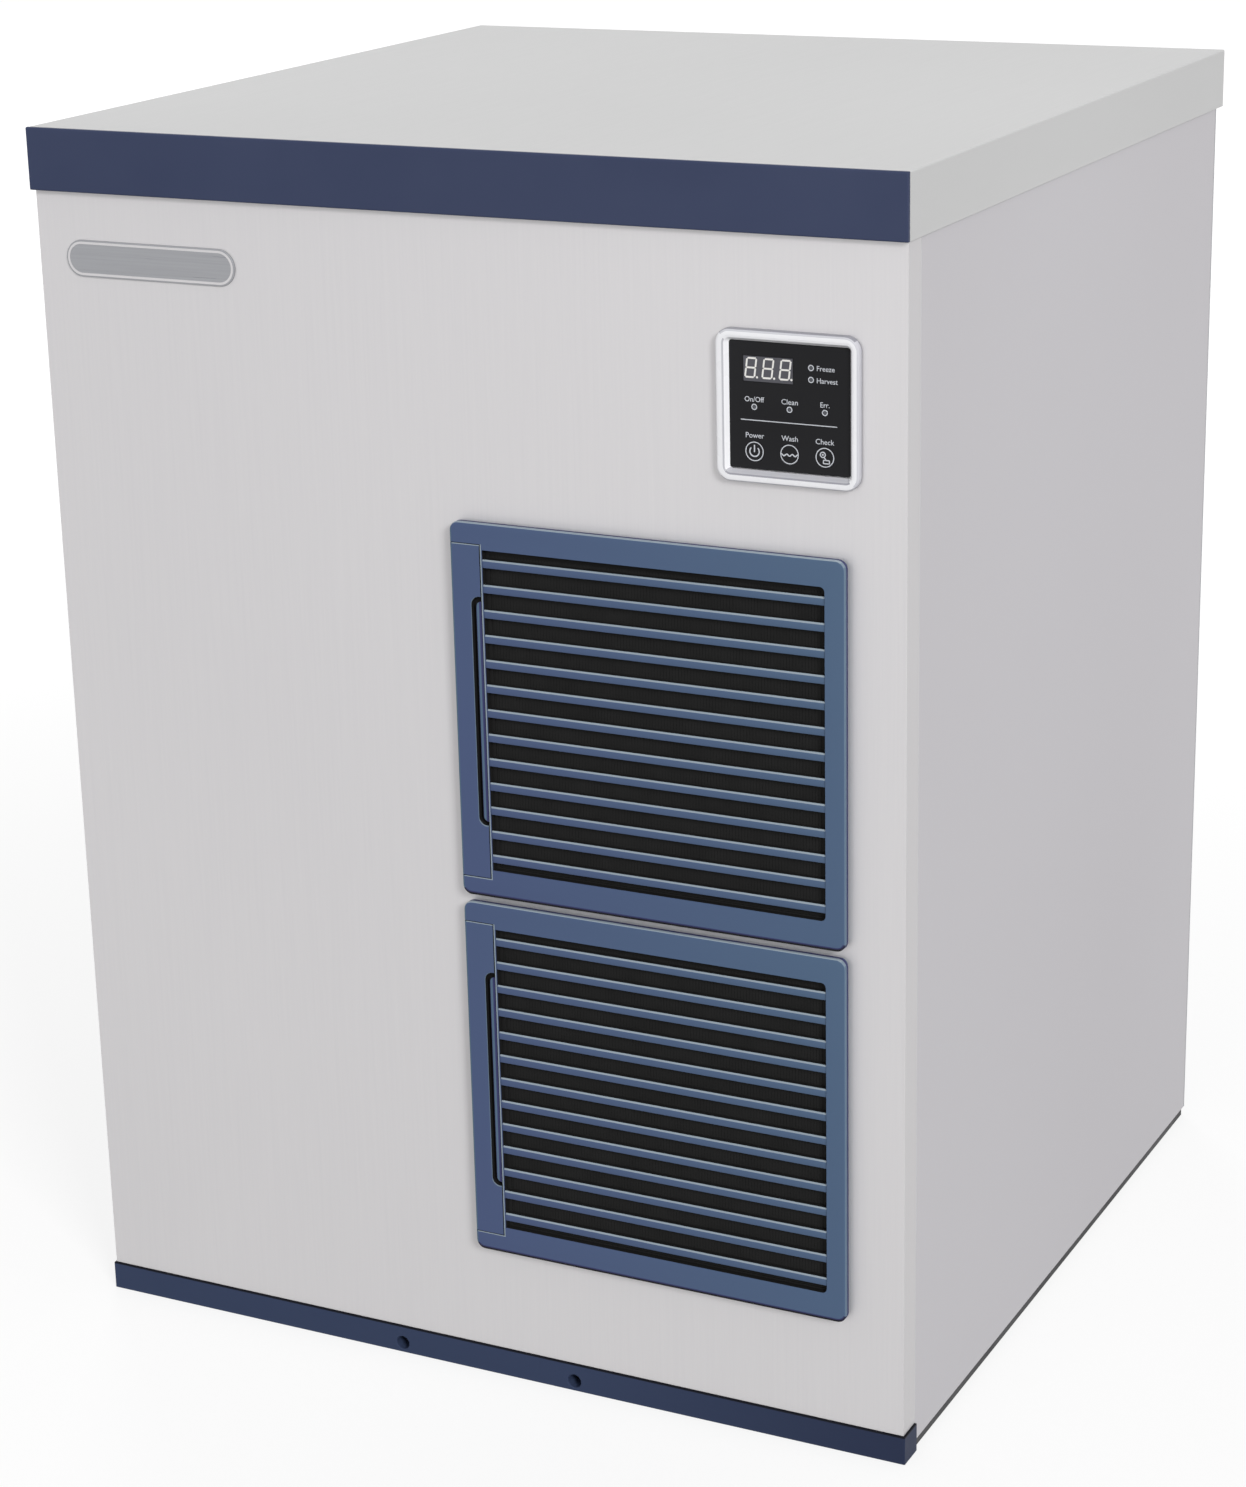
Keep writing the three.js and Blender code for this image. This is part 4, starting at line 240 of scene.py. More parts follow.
def zinc():
    """Galvanised sheet: flat crystals of slightly different greys."""
    shade = Shader("zinc", (176, 180, 183), 0.45, 0.45)
    cells = shade.add("ShaderNodeTexVoronoi")
    cells.inputs["Scale"].default_value = 170
    shade.link(shade.space(), cells.inputs["Vector"])
    spangle = shade.ramp(cells.outputs["Color"], (173, 177, 180), (184, 187, 190), 0.2, 0.8)
    soft = shade.ramp(shade.noise(6), (175, 178, 181), (182, 185, 187))
    shade.paint(shade.mix(0.45, spangle, soft))
    shade.polish(shade.noise(140), 0.38, 0.55)
    return shade.material


def moulded(name, low, high, roughness, grain=0.02, size=1400, **sockets):
    """Moulded plastic or enamel: slight mottling, a fine grained skin and rubbed patches."""
    shade = Shader(name, low, 0, roughness, **sockets)
    shade.paint(shade.ramp(shade.noise(9, detail=3), low, high))
    shade.polish(shade.noise(30, detail=3), roughness - 0.06, roughness + 0.08)
    shade.bump(shade.noise(size, detail=1), grain, 0.4)
    return shade.material


def grille_blue_painted_light():
    """Slate blue moulding with painted light: lighter and greener to the right and the top of each grille,
    darker and more violet below.
    """
    rise_share = 0.2
    foot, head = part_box("lower_grille")
    next_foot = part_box("upper_grille")[0]
    slope = rise_share / (head.z - foot.z)
    shade = Shader("grille_blue_painted_light", (78, 94, 125), 0, 0.38, Specular_IOR_Level=0.1)
    x, _, z = shade.places()
    level = shade.maths("WRAP", z, next_foot.z, foot.z)
    rise = shade.maths("MULTIPLY_ADD", level, slope, -foot.z * slope)
    share = shade.maths("MULTIPLY_ADD", x, (1 - rise_share) / head.x, rise)
    # Painted light: lighter and greener to the upper right of each grille, darker and more violet to its
    # lower left.
    painted_light_tint = shade.ramp(share, (76, 88, 124), (83, 105, 131), 0, 1)
    mottle = shade.ramp(shade.noise(12, detail=3), (76, 91, 121), (81, 97, 126))
    shade.paint(shade.mix(0.12, painted_light_tint, mottle))
    shade.polish(shade.noise(40, detail=3), 0.34, 0.46)
    shade.bump(shade.noise(1500, detail=1), 0.008, 0.3)
    return shade.material


def base_navy_painted_shade():
    """The base strip's navy, with painted shade darkening its right end and a near black painted shadow
    along its top edge, where it meets the panel.
    """
    end = WIDTH / 2 * MM
    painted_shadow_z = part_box("base_front_trim")[1].z - 0.7 * MM
    blur = 0.15 * MM
    shade = Shader("base_navy_painted_shade", (54, 62, 87), 0, 0.5, Specular_IOR_Level=0.1)
    x, _, z = shade.places()
    # Painted shade: the navy darkens over the last 220 mm to the right end.
    painted_shade_fade = shade.ramp(shade.spread(x, end - 220 * MM, end, 0, 1), (54, 65, 91), (40, 48, 71), 0, 1)
    mottle = shade.ramp(shade.noise(9, detail=3), (50, 58, 82), (55, 63, 87))
    navy = shade.mix(0.15, painted_shade_fade, mottle)
    # Painted shadow: near black in a thin band along the top edge, under the panel.
    shade.paint(shade.mix(shade.spread(z, painted_shadow_z - blur, painted_shadow_z + blur, 0, 1), navy, linear(16, 18, 26)))
    shade.polish(shade.noise(30, detail=3), 0.44, 0.58)
    shade.bump(shade.noise(1400, detail=1), 0.02, 0.4)
    return shade.material


def net_black():
    """The net's threads: soft patches and a fine relief on near black."""
    shade = Shader("net_black", (30, 30, 31), 0, 0.8, Specular_IOR_Level=0.1)
    shade.paint(shade.ramp(shade.noise(60, detail=2), (33, 33, 33), (37, 37, 37)))
    shade.bump(shade.noise(900, detail=1), 0.02, 0.3)
    return shade.material


def copper():
    shade = Shader("copper", (190, 118, 84), 1.0, 0.32)
    shade.paint(shade.ramp(shade.noise(24, detail=3), (150, 88, 62), (205, 132, 96)))
    shade.polish(shade.noise(60, detail=3), 0.24, 0.45)
    return shade.material


def metal(name, low, high, roughness, size=200):
    shade = Shader(name, low, 1.0, roughness)
    shade.paint(shade.ramp(shade.noise(size / 8, detail=3), low, high))
    shade.polish(shade.noise(size / 4, detail=2), roughness - 0.08, roughness + 0.1)
    shade.bump(shade.noise(size * 6, detail=1), 0.01, 0.4)
    return shade.material


def clear_plastic():
    shade = Shader("clear_plastic", (214, 224, 230), 0, 0.16, Transmission_Weight=0.75, IOR=1.46)
    shade.paint(shade.ramp(shade.noise(18), (206, 218, 226), (222, 231, 236)))
    return shade.material


looks = {
    "stainless": shaded_side_steel,
    "galvanised": zinc(),
    "navy_trim": moulded("navy_trim", (56, 64, 90), (61, 69, 95), 0.5, Specular_IOR_Level=0.12),
    "slate_blue": grille_blue_painted_light(),
    "filter_net": net_black(),
    "silver_bezel": moulded("silver_bezel", (238, 238, 241), (243, 243, 246), 0.3, 0.006, Coat_Weight=0.15),
    "overlay_black": moulded(
        "overlay_black", (30, 30, 32), (35, 35, 37), 0.42, 0.01, 2600, Specular_IOR_Level=0.08),
    "display_lens": moulded(
        "display_lens", (82, 82, 88), (90, 90, 96), 0.22, 0.004, Specular_IOR_Level=0.15),
    "board_green": moulded("board_green", (28, 92, 54), (36, 108, 62), 0.35),
    "aluminium": metal("aluminium", (186, 188, 191), (208, 210, 212), 0.36),
    "nickel_plate": metal("nickel_plate", (196, 195, 188), (214, 213, 207), 0.22),
    "black_enamel": moulded("black_enamel", (24, 24, 26), (34, 34, 36), 0.3, 0.03, 500),
    "copper": copper(),
    "brass": metal("brass", (176, 146, 84), (200, 170, 104), 0.3),
    "white_plastic": moulded("white_plastic", (218, 221, 224), (228, 231, 233), 0.4),
    "clear_plastic": clear_plastic(),
    "black_plastic": moulded("black_plastic", (32, 32, 34), (42, 42, 44), 0.55),
    "screw_steel": metal("screw_steel", (34, 34, 37), (58, 58, 62), 0.4, 500),
}
# Painted light and shade for the grilles' edges and notches: copies of the grille's blue, lighter where
# light falls, darker where shade falls.
highlight_paint = moulded("highlight_paint", (140, 153, 164), (148, 161, 171), 0.4, 0.005, Specular_IOR_Level=0.2)
soft_light_paint = moulded("soft_light_paint", (98, 117, 137), (106, 124, 143), 0.4, 0.005, Specular_IOR_Level=0.1)
mid_light_paint = moulded("mid_light_paint", (120, 136, 151), (127, 142, 157), 0.4, 0.005, Specular_IOR_Level=0.1)
teal_light_paint = moulded("teal_light_paint", (84, 107, 127), (90, 113, 133), 0.4, 0.005, Specular_IOR_Level=0.1)
edge_shade = moulded("edge_shade", (42, 42, 58), (46, 46, 62), 0.5, 0.005, Specular_IOR_Level=0.05)
violet_shade_paint = moulded("violet_shade_paint", (58, 60, 98), (64, 67, 105), 0.45, 0.005, Specular_IOR_Level=0.06)
# Near black painted shade for the grilles' recesses and inner walls, the cartridge behind the slats and the
# strip under each grille's lower edge.
deep_shade_paint = moulded("deep_shade_paint", (32, 32, 32), (36, 36, 36), 0.7, 0.01, Specular_IOR_Level=0.05)
# Painted shade of three depths for the bezel's walls, groove and edges, chosen by side.
bezel_deep_shade_paint = moulded("bezel_deep_shade_paint", (146, 146, 154), (154, 154, 162), 0.4, 0.006)
bezel_mid_shade_paint = moulded("bezel_mid_shade_paint", (180, 180, 186), (188, 188, 194), 0.4, 0.006)
bezel_soft_shade_paint = moulded("bezel_soft_shade_paint", (200, 200, 206), (207, 207, 213), 0.4, 0.006)
white_print = moulded("white_print", (196, 199, 206), (208, 211, 217), 0.5, 0.004)
digit_white = moulded("digit_white", (228, 226, 222), (238, 236, 232), 0.45, 0.004)
lamp_lens = moulded("lamp_lens", (64, 66, 72), (78, 80, 86), 0.25, 0.004)

slots = {part["node"]: part["material_slot"] for part in frame["record"]["subparts"]}
body_of_node = {
    node: body for body, nodes in frame["record"]["behaviour"]["bodies"].items() for node in nodes}
for node, cad in frame["nodes"].items():
    cad.data.materials.clear()
    cad.data.materials.append(looks[slots[node]])


# Mesh helpers
CAD_MERGE, OWN_MERGE = 0.004, 0.003  # points closer than this are one, in mm
FLAT_ANGLE, SHARP_ANGLE, SMOOTH_ANGLE = 0.4, 25, 30  # in degrees


def front_of(node):
    """The y of a node's front, in the part's millimetres."""
    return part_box(node)[0].y / MM - FRONT_SHIFT


def corner_of(node):
    """The x and z of a node's lower left corner, in the part's millimetres."""
    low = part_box(node)[0]
    return round(low.x / MM, 3), round(low.z / MM, 3)


def centre_of(node):
    low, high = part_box(node)
    return (low.x + high.x) / 2 / MM, (low.z + high.z) / 2 / MM


def piece(name, mesh, body, slot, *materials):
    obj = bpy.data.objects.new(name, mesh)
    scene.collection.objects.link(obj)
    chosen = [min(face.material_index, len(materials) - 1) for face in mesh.polygons]
    mesh.materials.clear()
    for material in materials:
        mesh.materials.append(material)
    mesh.polygons.foreach_set("material_index", chosen)
    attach(obj, body)
    return obj


def shade_smooth(mesh, degrees):
    mesh.polygons.foreach_set("use_smooth", [True] * len(mesh.polygons))
    mesh.set_sharp_from_angle(angle=math.radians(degrees))


def refine(node, edge, picks=(), material=None):
    """A finer copy of a CAD node: its flat facets joined, its edges rounded by edge mm.

    picks gives edges a width of their own: the first (test, width) whose test holds for an
    edge's middle, in the part's millimetres, and its direction.
    """
    mesh = frame["nodes"][node].data.copy()
    mesh.name = node + "_fine"
    bm = bmesh.new()
    bm.from_mesh(mesh)
    bmesh.ops.remove_doubles(bm, verts=bm.verts, dist=CAD_MERGE * MM)
    bmesh.ops.dissolve_limit(
        bm, angle_limit=math.radians(FLAT_ANGLE), verts=bm.verts, edges=bm.edges,
        use_dissolve_boundaries=False)
    widest = max([edge] + [width for _, width in picks])
    layer = bm.edges.layers.float.new("bevel_weight_edge")
    for e in bm.edges:
        if len(e.link_faces) != 2 or e.calc_face_angle(0) < math.radians(SHARP_ANGLE):
            continue
        middle = (e.verts[0].co + e.verts[1].co) / 2 / MM
        middle.y -= FRONT_SHIFT
        run = (e.verts[1].co - e.verts[0].co).normalized()
        width = next((w for test, w in picks if test(middle, run)), edge)
        e[layer] = width / widest
    bm.to_mesh(mesh)
    bm.free()
    obj = piece(node + "_fine", mesh, body_of_node[node], slots[node], material or looks[slots[node]])
    rounded = obj.modifiers.new("rounded", "BEVEL")
    rounded.width = widest * MM
    rounded.segments = 2
    rounded.limit_method = "WEIGHT"
    rounded.use_clamp_overlap = False
    rounded.harden_normals = False
    split = obj.modifiers.new("triangles", "TRIANGULATE")
    split.min_vertices = 5
    shade_smooth(mesh, SMOOTH_ANGLE)
    weighted = obj.modifiers.new("weighted", "WEIGHTED_NORMAL")
    weighted.keep_sharp = True
    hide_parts(node)
    return obj


# The cabinet's sheets
COVER_FOOT = 725  # the foot of the cover's rim
FOLD = 0.9  # how far the cover's outer folds are rounded
SIDE = WIDTH / 2
PANEL_FACE = 4.0  # how far the panel lies behind the part's front


def outer_fold(middle, run):
    """An upright edge at the cover's sides or back, above the rim's foot."""
    outside = abs(middle.x) > SIDE - 1 or middle.y > DEPTH - 1
    return abs(run.z) > 0.99 and outside and middle.z > COVER_FOOT + 5


refine("top_cover", 0.2, [(lambda m, d: m.z > HEIGHT - 0.5, FOLD), (outer_fold, FOLD)], shaded_top_steel)
refine("top_front_band", 0.3, [(lambda m, d: m.y < 0.3, 0.5)])
refine("front_panel", 0.12, [(lambda m, d: m.y < PANEL_FACE + 0.5, 0.15)], front_steel)
refine("left_side_panel", 0.15, [(lambda m, d: m.x < 2 - SIDE, 0.4)], shaded_side_steel)
refine("right_side_panel", 0.15, [(lambda m, d: m.x > SIDE - 2, 0.4)], shaded_side_steel)
refine("rear_panel", 0.12)
refine("base_front_trim", 0.25, [
    (lambda m, d: m.y < 3.3, 0.6),  # the front edges
    (lambda m, d: 5.5 < m.y < 6.5, 0.05),  # the screw bosses' foot reaches the trim's lower edge
], base_navy_painted_shade())


# Grilles, filter cartridges and bezel, built afresh with rounded edges and painted light and shade on them

# The grilles' sizes in mm: x and y are the part's, heights count from a grille's middle
GRILLE_LEFT, GRILLE_RIGHT, GRILLE_TOP, GRILLE_HALF = -0.5, 245.4, 114.4, 113.675
GRILLE_FRONT, SHELL_BACK, GRILLE_BACK = -3.7, 0.2, 4.0
CORNER = 5.6
FILTER_RIGHT, FILTER_FRONT, FILTER_BACK, FILTER_RIM, FILTER_RIB = 238.0, 0.5, 3.7, 6.0, 1.6
CHANNEL_RIGHT = FILTER_RIGHT + 0.3
HANDLE_RIGHT, HANDLE_HALF = 18.5, 101.675
SEAM, HIGHLIGHT_STRIP = 0.45, 0.6  # the gap above and below the handle, and the painted highlight strip beside it
WINDOW_LEFT, WINDOW_RIGHT = HANDLE_RIGHT + 1.4, GRILLE_RIGHT - 12
WINDOW_HALF, WINDOW_RISE, WINDOW_ROUND = 97.65, 1.2, 3
NOTCH_LEFT, NOTCH_HALF, NOTCH_ROUND, NOTCH_RISE = 12.3, 69.8, 5, 1.05
RIDGE_LEFT, RIDGE_FRONT, RIDGE_ROUND = NOTCH_LEFT + 2.7, GRILLE_FRONT + 0.9, 3.4
RIDGE_TOP, RIDGE_FOOT = NOTCH_RISE + NOTCH_HALF - 3.1, NOTCH_RISE - NOTCH_HALF + 2.1
SLATS, SLAT_PITCH, SLAT_HEIGHT, SLAT_RECESS, SLAT_DROP = 13, 15, 5.0, 0.6, 0.55
SLAT_CORE = 0.7  # how far the painted shade block inside a slat runs past the window's sides
NET_LEFT, NET_RIGHT, NET_COLUMNS, NET_ROWS, THREAD = 22.9, 232.0, 110, 100, 1.5
NET_PLY = 0.2  # the thickness of one layer of threads
STILE_FRONT, STILE_DEPTH = GRILLE_FRONT + 0.05, 0.25  # the strips between handle and window, the first a painted highlight

# The moulded edge: its section as (inset, depth) points, then a wall whose front part carries painted light
ROUND_EDGE = [(1.2, 0), (0.5, 0.06), (0.2, 0.25), (0, 0.6)]
FLAT_EDGE = [(2.2, 0), (1.55, 0.02), (0.95, 0.1), (0, 0.5)]
FACE_INSET, EDGE_DEPTH = ROUND_EDGE[0][0], ROUND_EDGE[-1][1]
LIT_SHARE, SHOULDER, UNDERCUT = 0.52, 0.6, 1.6

# The grille's looks: its blue, then painted highlight, painted soft light, painted violet shade, painted
# deep shade, painted mid light, painted teal light and painted shade.
BLUE, PAINTED_HIGHLIGHT, PAINTED_SOFT_LIGHT, PAINTED_VIOLET_SHADE, PAINTED_DEEP_SHADE, PAINTED_MID_LIGHT, PAINTED_TEAL_LIGHT, SHADE = range(8)
blues = [
    looks["slate_blue"], highlight_paint, soft_light_paint, violet_shade_paint, deep_shade_paint, mid_light_paint, teal_light_paint,
    edge_shade]
RIDGE_STRIPS = [  # where a strip starts, from the ridge's left, and its look: painted teal light on the left half, painted violet shade on the right
    (0.01, BLUE), (0.12, BLUE), (0.3, BLUE), (0.5, PAINTED_TEAL_LIGHT), (1, PAINTED_TEAL_LIGHT), (1.5, BLUE), (1.9, PAINTED_VIOLET_SHADE), (2.7, PAINTED_VIOLET_SHADE)]
STILE_STRIPS = [(0.6, 1.3, PAINTED_HIGHLIGHT), (1.3, 1.75, BLUE)]  # from the handle: start, end and look, the first a painted highlight line


def solid(name, polygons, node, materials, degrees=SMOOTH_ANGLE):
    """A mesh piece from (points, material index) polygons in part mm, in place of a CAD node."""
    mesh = bpy.data.meshes.new(name)
    bm = bmesh.new()
    for points, look in polygons:
        face = bm.faces.new([bm.verts.new(place(*p)) for p in points])
        face.material_index = look
    bmesh.ops.remove_doubles(bm, verts=bm.verts, dist=OWN_MERGE * MM)
    bmesh.ops.recalc_face_normals(bm, faces=bm.faces)
    bm.to_mesh(mesh)
    bm.free()
    obj = piece(name, mesh, body_of_node[node], slots[node], *materials)
    shade_smooth(mesh, degrees)
    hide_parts(node)
    return obj


def flat(outline, y, look):
    """One upright face with that (x, z) outline."""
    return ([(x, y, z) for x, z in outline], look)


def shelf(outline, z, look):
    """One level face with that (x, y) outline."""
    return ([(x, y, z) for x, y in outline], look)


def wall(line, front, back, look):
    """Faces between two values of y along an open line of (x, z) points."""
    return [
        ([(x0, front, z0), (x0, back, z0), (x1, back, z1), (x1, front, z1)], look)
        for (x0, z0), (x1, z1) in zip(line, line[1:])]


def bar(x, y, z, look=0):
    """The faces of a box, its three spans given as pairs."""
    outline = [(x[0], z[0]), (x[1], z[0]), (x[1], z[1]), (x[0], z[1])]
    ends = [flat(outline, y[0], look), flat(outline[::-1], y[1], look)]
    return ends + wall(outline + outline[:1], *y, look)


def corner_path(x, z, radius, start, count=8):
    """A quarter turn as (x, z, out x, out z) points."""
    return [(x + radius * u, z + radius * v, u, v) for u, v in directions(start, 90, count)]


def painted_edge_light(out_x, out_z, strip):
    """The look of one strip of a moulded edge as painted light: a painted highlight above, softer painted
    light at the sides, painted shade below.
    """
    lit = PAINTED_HIGHLIGHT if out_z > 0.8 else PAINTED_MID_LIGHT if out_z > 0.45 else PAINTED_SOFT_LIGHT
    if out_x > 0.35 and -0.8 < out_z < -0.25:
        return (PAINTED_VIOLET_SHADE, SHADE, SHADE, PAINTED_VIOLET_SHADE, PAINTED_VIOLET_SHADE, PAINTED_VIOLET_SHADE, PAINTED_VIOLET_SHADE)[strip]
    if out_z > 0.35 or out_x > 0.35 and out_z > -0.3:
        return (BLUE, lit, lit, lit, PAINTED_VIOLET_SHADE, PAINTED_SOFT_LIGHT, PAINTED_SOFT_LIGHT)[strip]
    if out_z < -0.35:
        return (PAINTED_VIOLET_SHADE, SHADE, PAINTED_DEEP_SHADE, PAINTED_VIOLET_SHADE, PAINTED_VIOLET_SHADE, PAINTED_SOFT_LIGHT, PAINTED_SOFT_LIGHT)[strip]
    return (PAINTED_TEAL_LIGHT, PAINTED_TEAL_LIGHT, PAINTED_TEAL_LIGHT, PAINTED_TEAL_LIGHT, PAINTED_VIOLET_SHADE, PAINTED_SOFT_LIGHT, PAINTED_SOFT_LIGHT)[strip]


def edge_rows(back, under):
    """The edge's section as (inset, y) points: round above and at the sides, flatter below."""
    rows = [
        (i0 + (i1 - i0) * under, GRILLE_FRONT + d0 + (d1 - d0) * under)
        for (i0, d0), (i1, d1) in zip(ROUND_EDGE, FLAT_EDGE)]
    shoulder = min(SHOULDER, back - 0.2)
    lit = GRILLE_FRONT + (shoulder - GRILLE_FRONT) * LIT_SHARE
    return rows + [(0, lit), (0, shoulder), (UNDERCUT, shoulder + 0.1), (UNDERCUT, back)]


def edge_sections(path, back):
    """That section at each point of a path of (x, z, out x, out z)."""
    return [
        [(x - u * inset, y, z - v * inset) for inset, y in edge_rows(back, max(0, -v))]
        for x, z, u, v in path]


def edge_run(path, back):
    """The moulded front edge and the side wall along an open path, each strip in painted light and shade by
    the way it faces.
    """
    sections = edge_sections(path, back)
    faces = []
    for start, end, first, second in zip(path, path[1:], sections, sections[1:]):
        out_x, out_z = (start[2] + end[2]) / 2, (start[3] + end[3]) / 2
        for i in range(len(first) - 1):
            corners = [first[i], second[i], second[i + 1], first[i + 1]]
            faces.append((corners, painted_edge_light(out_x, out_z, i)))
    return faces


def window_line(z):
    """The window's edge from its upper left corner round to its lower left one."""
    high, low = z + WINDOW_RISE + WINDOW_HALF, z + WINDOW_RISE - WINDOW_HALF
    x = WINDOW_RIGHT - WINDOW_ROUND
    upper = corner_path(x, high - WINDOW_ROUND, WINDOW_ROUND, 0, 5)[::-1]
    lower = corner_path(x, low + WINDOW_ROUND, WINDOW_ROUND, 270, 5)[::-1]
    return [(WINDOW_LEFT, high)] + [point[:2] for point in upper + lower] + [(WINDOW_LEFT, low)]


def grille_shell(z):
    """The grille's frame: a C round the window, with the handle's place left open at the left."""
    top, bottom = z + GRILLE_TOP - CORNER, z - GRILLE_HALF + CORNER
    left, right = GRILLE_LEFT + CORNER, GRILLE_RIGHT - CORNER
    part_top, part_bottom = z + HANDLE_HALF + SEAM, z - HANDLE_HALF - SEAM
    path = [(GRILLE_LEFT, part_bottom, -1, 0)]
    for x, level, start in ((left, bottom, 180), (right, bottom, 270), (right, top, 0), (left, top, 90)):
        path += corner_path(x, level, CORNER, start)
    path += [(GRILLE_LEFT, part_top, -1, 0)]
    faces = edge_run(path, GRILLE_BACK)
    sections = edge_sections(path, GRILLE_BACK)
    inner = [(section[0][0], section[0][2]) for section in sections]
    outer = [(section[-1][0], section[-1][2]) for section in sections]
    highlight_strip = [
        (inner[0][0], part_bottom), (WINDOW_LEFT, part_bottom), (WINDOW_LEFT, part_bottom - HIGHLIGHT_STRIP),
        (inner[0][0], part_bottom - HIGHLIGHT_STRIP)]
    window = [(WINDOW_LEFT, part_top)] + window_line(z)
    faces.append(flat(highlight_strip[3:] + inner[1:] + window + highlight_strip[2:3], GRILLE_FRONT, BLUE))
    # The painted highlight strip just below the lower seam.
    faces.append(flat(highlight_strip, GRILLE_FRONT, PAINTED_HIGHLIGHT))
    window.append(highlight_strip[1])
    # Painted deep shade on the window's inner walls.
    faces += wall(window, GRILLE_FRONT, SHELL_BACK, PAINTED_DEEP_SHADE)
    channel = [
        (GRILLE_LEFT + UNDERCUT, part_top), (CHANNEL_RIGHT, part_top), (CHANNEL_RIGHT, part_bottom),
        (GRILLE_LEFT + UNDERCUT, part_bottom)]
    faces.append(flat(window + channel[2:0:-1], SHELL_BACK, BLUE))
    faces.append(flat(outer + channel[1:3], GRILLE_BACK, BLUE))
    faces += wall(channel, SHELL_BACK, GRILLE_BACK, BLUE)
    # The seams' faces above and below the handle take painted deep shade.
    end = [
        (GRILLE_LEFT, GRILLE_FRONT + EDGE_DEPTH), (GRILLE_LEFT + FACE_INSET, GRILLE_FRONT),
        (WINDOW_LEFT, GRILLE_FRONT), (WINDOW_LEFT, SHELL_BACK), (GRILLE_LEFT, SHELL_BACK)]
    return faces + [shelf(end, part_top, PAINTED_DEEP_SHADE), shelf(end, part_bottom, PAINTED_DEEP_SHADE)]


def slat_faces(z):
    """One louvre blade: flat face, rounded top edge with a painted highlight, painted deep shade behind."""
    front = GRILLE_FRONT + SLAT_RECESS
    low, high = z - SLAT_HEIGHT / 2, z + SLAT_HEIGHT / 2
    left, right = WINDOW_LEFT - 0.2, WINDOW_RIGHT - 0.3
    profile = [
        (front + 0.3, low, BLUE), (front + 0.08, low + 0.1, BLUE), (front, low + 0.3, BLUE),
        (front, high - 0.95, PAINTED_HIGHLIGHT), (front + 0.1, high - 0.5, PAINTED_HIGHLIGHT), (front + 0.3, high - 0.2, PAINTED_HIGHLIGHT),
        (front + 0.6, high, PAINTED_DEEP_SHADE), (SHELL_BACK, high, PAINTED_DEEP_SHADE), (SHELL_BACK, low + 0.8, PAINTED_DEEP_SHADE)]
    faces = []
    for (y0, z0, look), (y1, z1, _) in zip(profile, profile[1:] + profile[:1]):
        faces.append(([(left, y0, z0), (right, y0, z0), (right, y1, z1), (left, y1, z1)], look))
    faces.append(([(left, y, level) for y, level, _ in profile], PAINTED_DEEP_SHADE))
    faces.append(([(right, y, level) for y, level, _ in profile[::-1]], PAINTED_DEEP_SHADE))
    # A near black block of painted shade within the blade, reaching past the window's sides.
    core = (WINDOW_LEFT - SLAT_CORE, WINDOW_RIGHT + SLAT_CORE)
    return faces + bar(core, (front + 1.4, SHELL_BACK - 0.1), (low + 1.2, high - 0.4), PAINTED_DEEP_SHADE)


def ridge_faces(z):
    """The ridge in the finger notch: painted soft light on its left half, painted shade on its right, its
    hidden faces in painted deep shade.
    """
    top, bottom = z + RIDGE_TOP, z + RIDGE_FOOT

    def ends(x):
        drop = RIDGE_ROUND - (RIDGE_ROUND ** 2 - (RIDGE_ROUND - (x - RIDGE_LEFT)) ** 2) ** 0.5
        return top - drop, bottom + drop

    cuts = [RIDGE_LEFT + cut for cut, _ in RIDGE_STRIPS] + [HANDLE_RIGHT]
    faces = []
    for x0, x1, (_, look) in zip(cuts, cuts[1:], RIDGE_STRIPS):
        (high0, low0), (high1, low1) = ends(x0), ends(x1)
        outline = [(x0, low0), (x1, low1), (x1, high1), (x0, high0)]
        faces += [flat(outline, RIDGE_FRONT, look), flat(outline[::-1], SHELL_BACK, PAINTED_DEEP_SHADE)]
        for line in (outline[:2], outline[2:]):
            faces += wall(line, RIDGE_FRONT, SHELL_BACK, PAINTED_DEEP_SHADE)
    for x in (cuts[0], cuts[-1]):
        high, low = ends(x)
        faces += wall([(x, low), (x, high)], RIDGE_FRONT, SHELL_BACK, PAINTED_DEEP_SHADE)
    web = (HANDLE_RIGHT - 0.1, HANDLE_RIGHT + 0.7), (SHELL_BACK - 0.9, SHELL_BACK - 0.1)
    return faces + bar(*web, (bottom + RIDGE_ROUND, top - RIDGE_ROUND), PAINTED_DEEP_SHADE)


def notch_highlight_width(out_x, out_z):
    """The notch's rim of painted light: a hair above, wider at the left and widest below."""
    if out_z > 0:
        return 0.02 + 0.45 * max(-out_x, 0)
    return 0.47 + 0.3 * max(-out_z, 0)


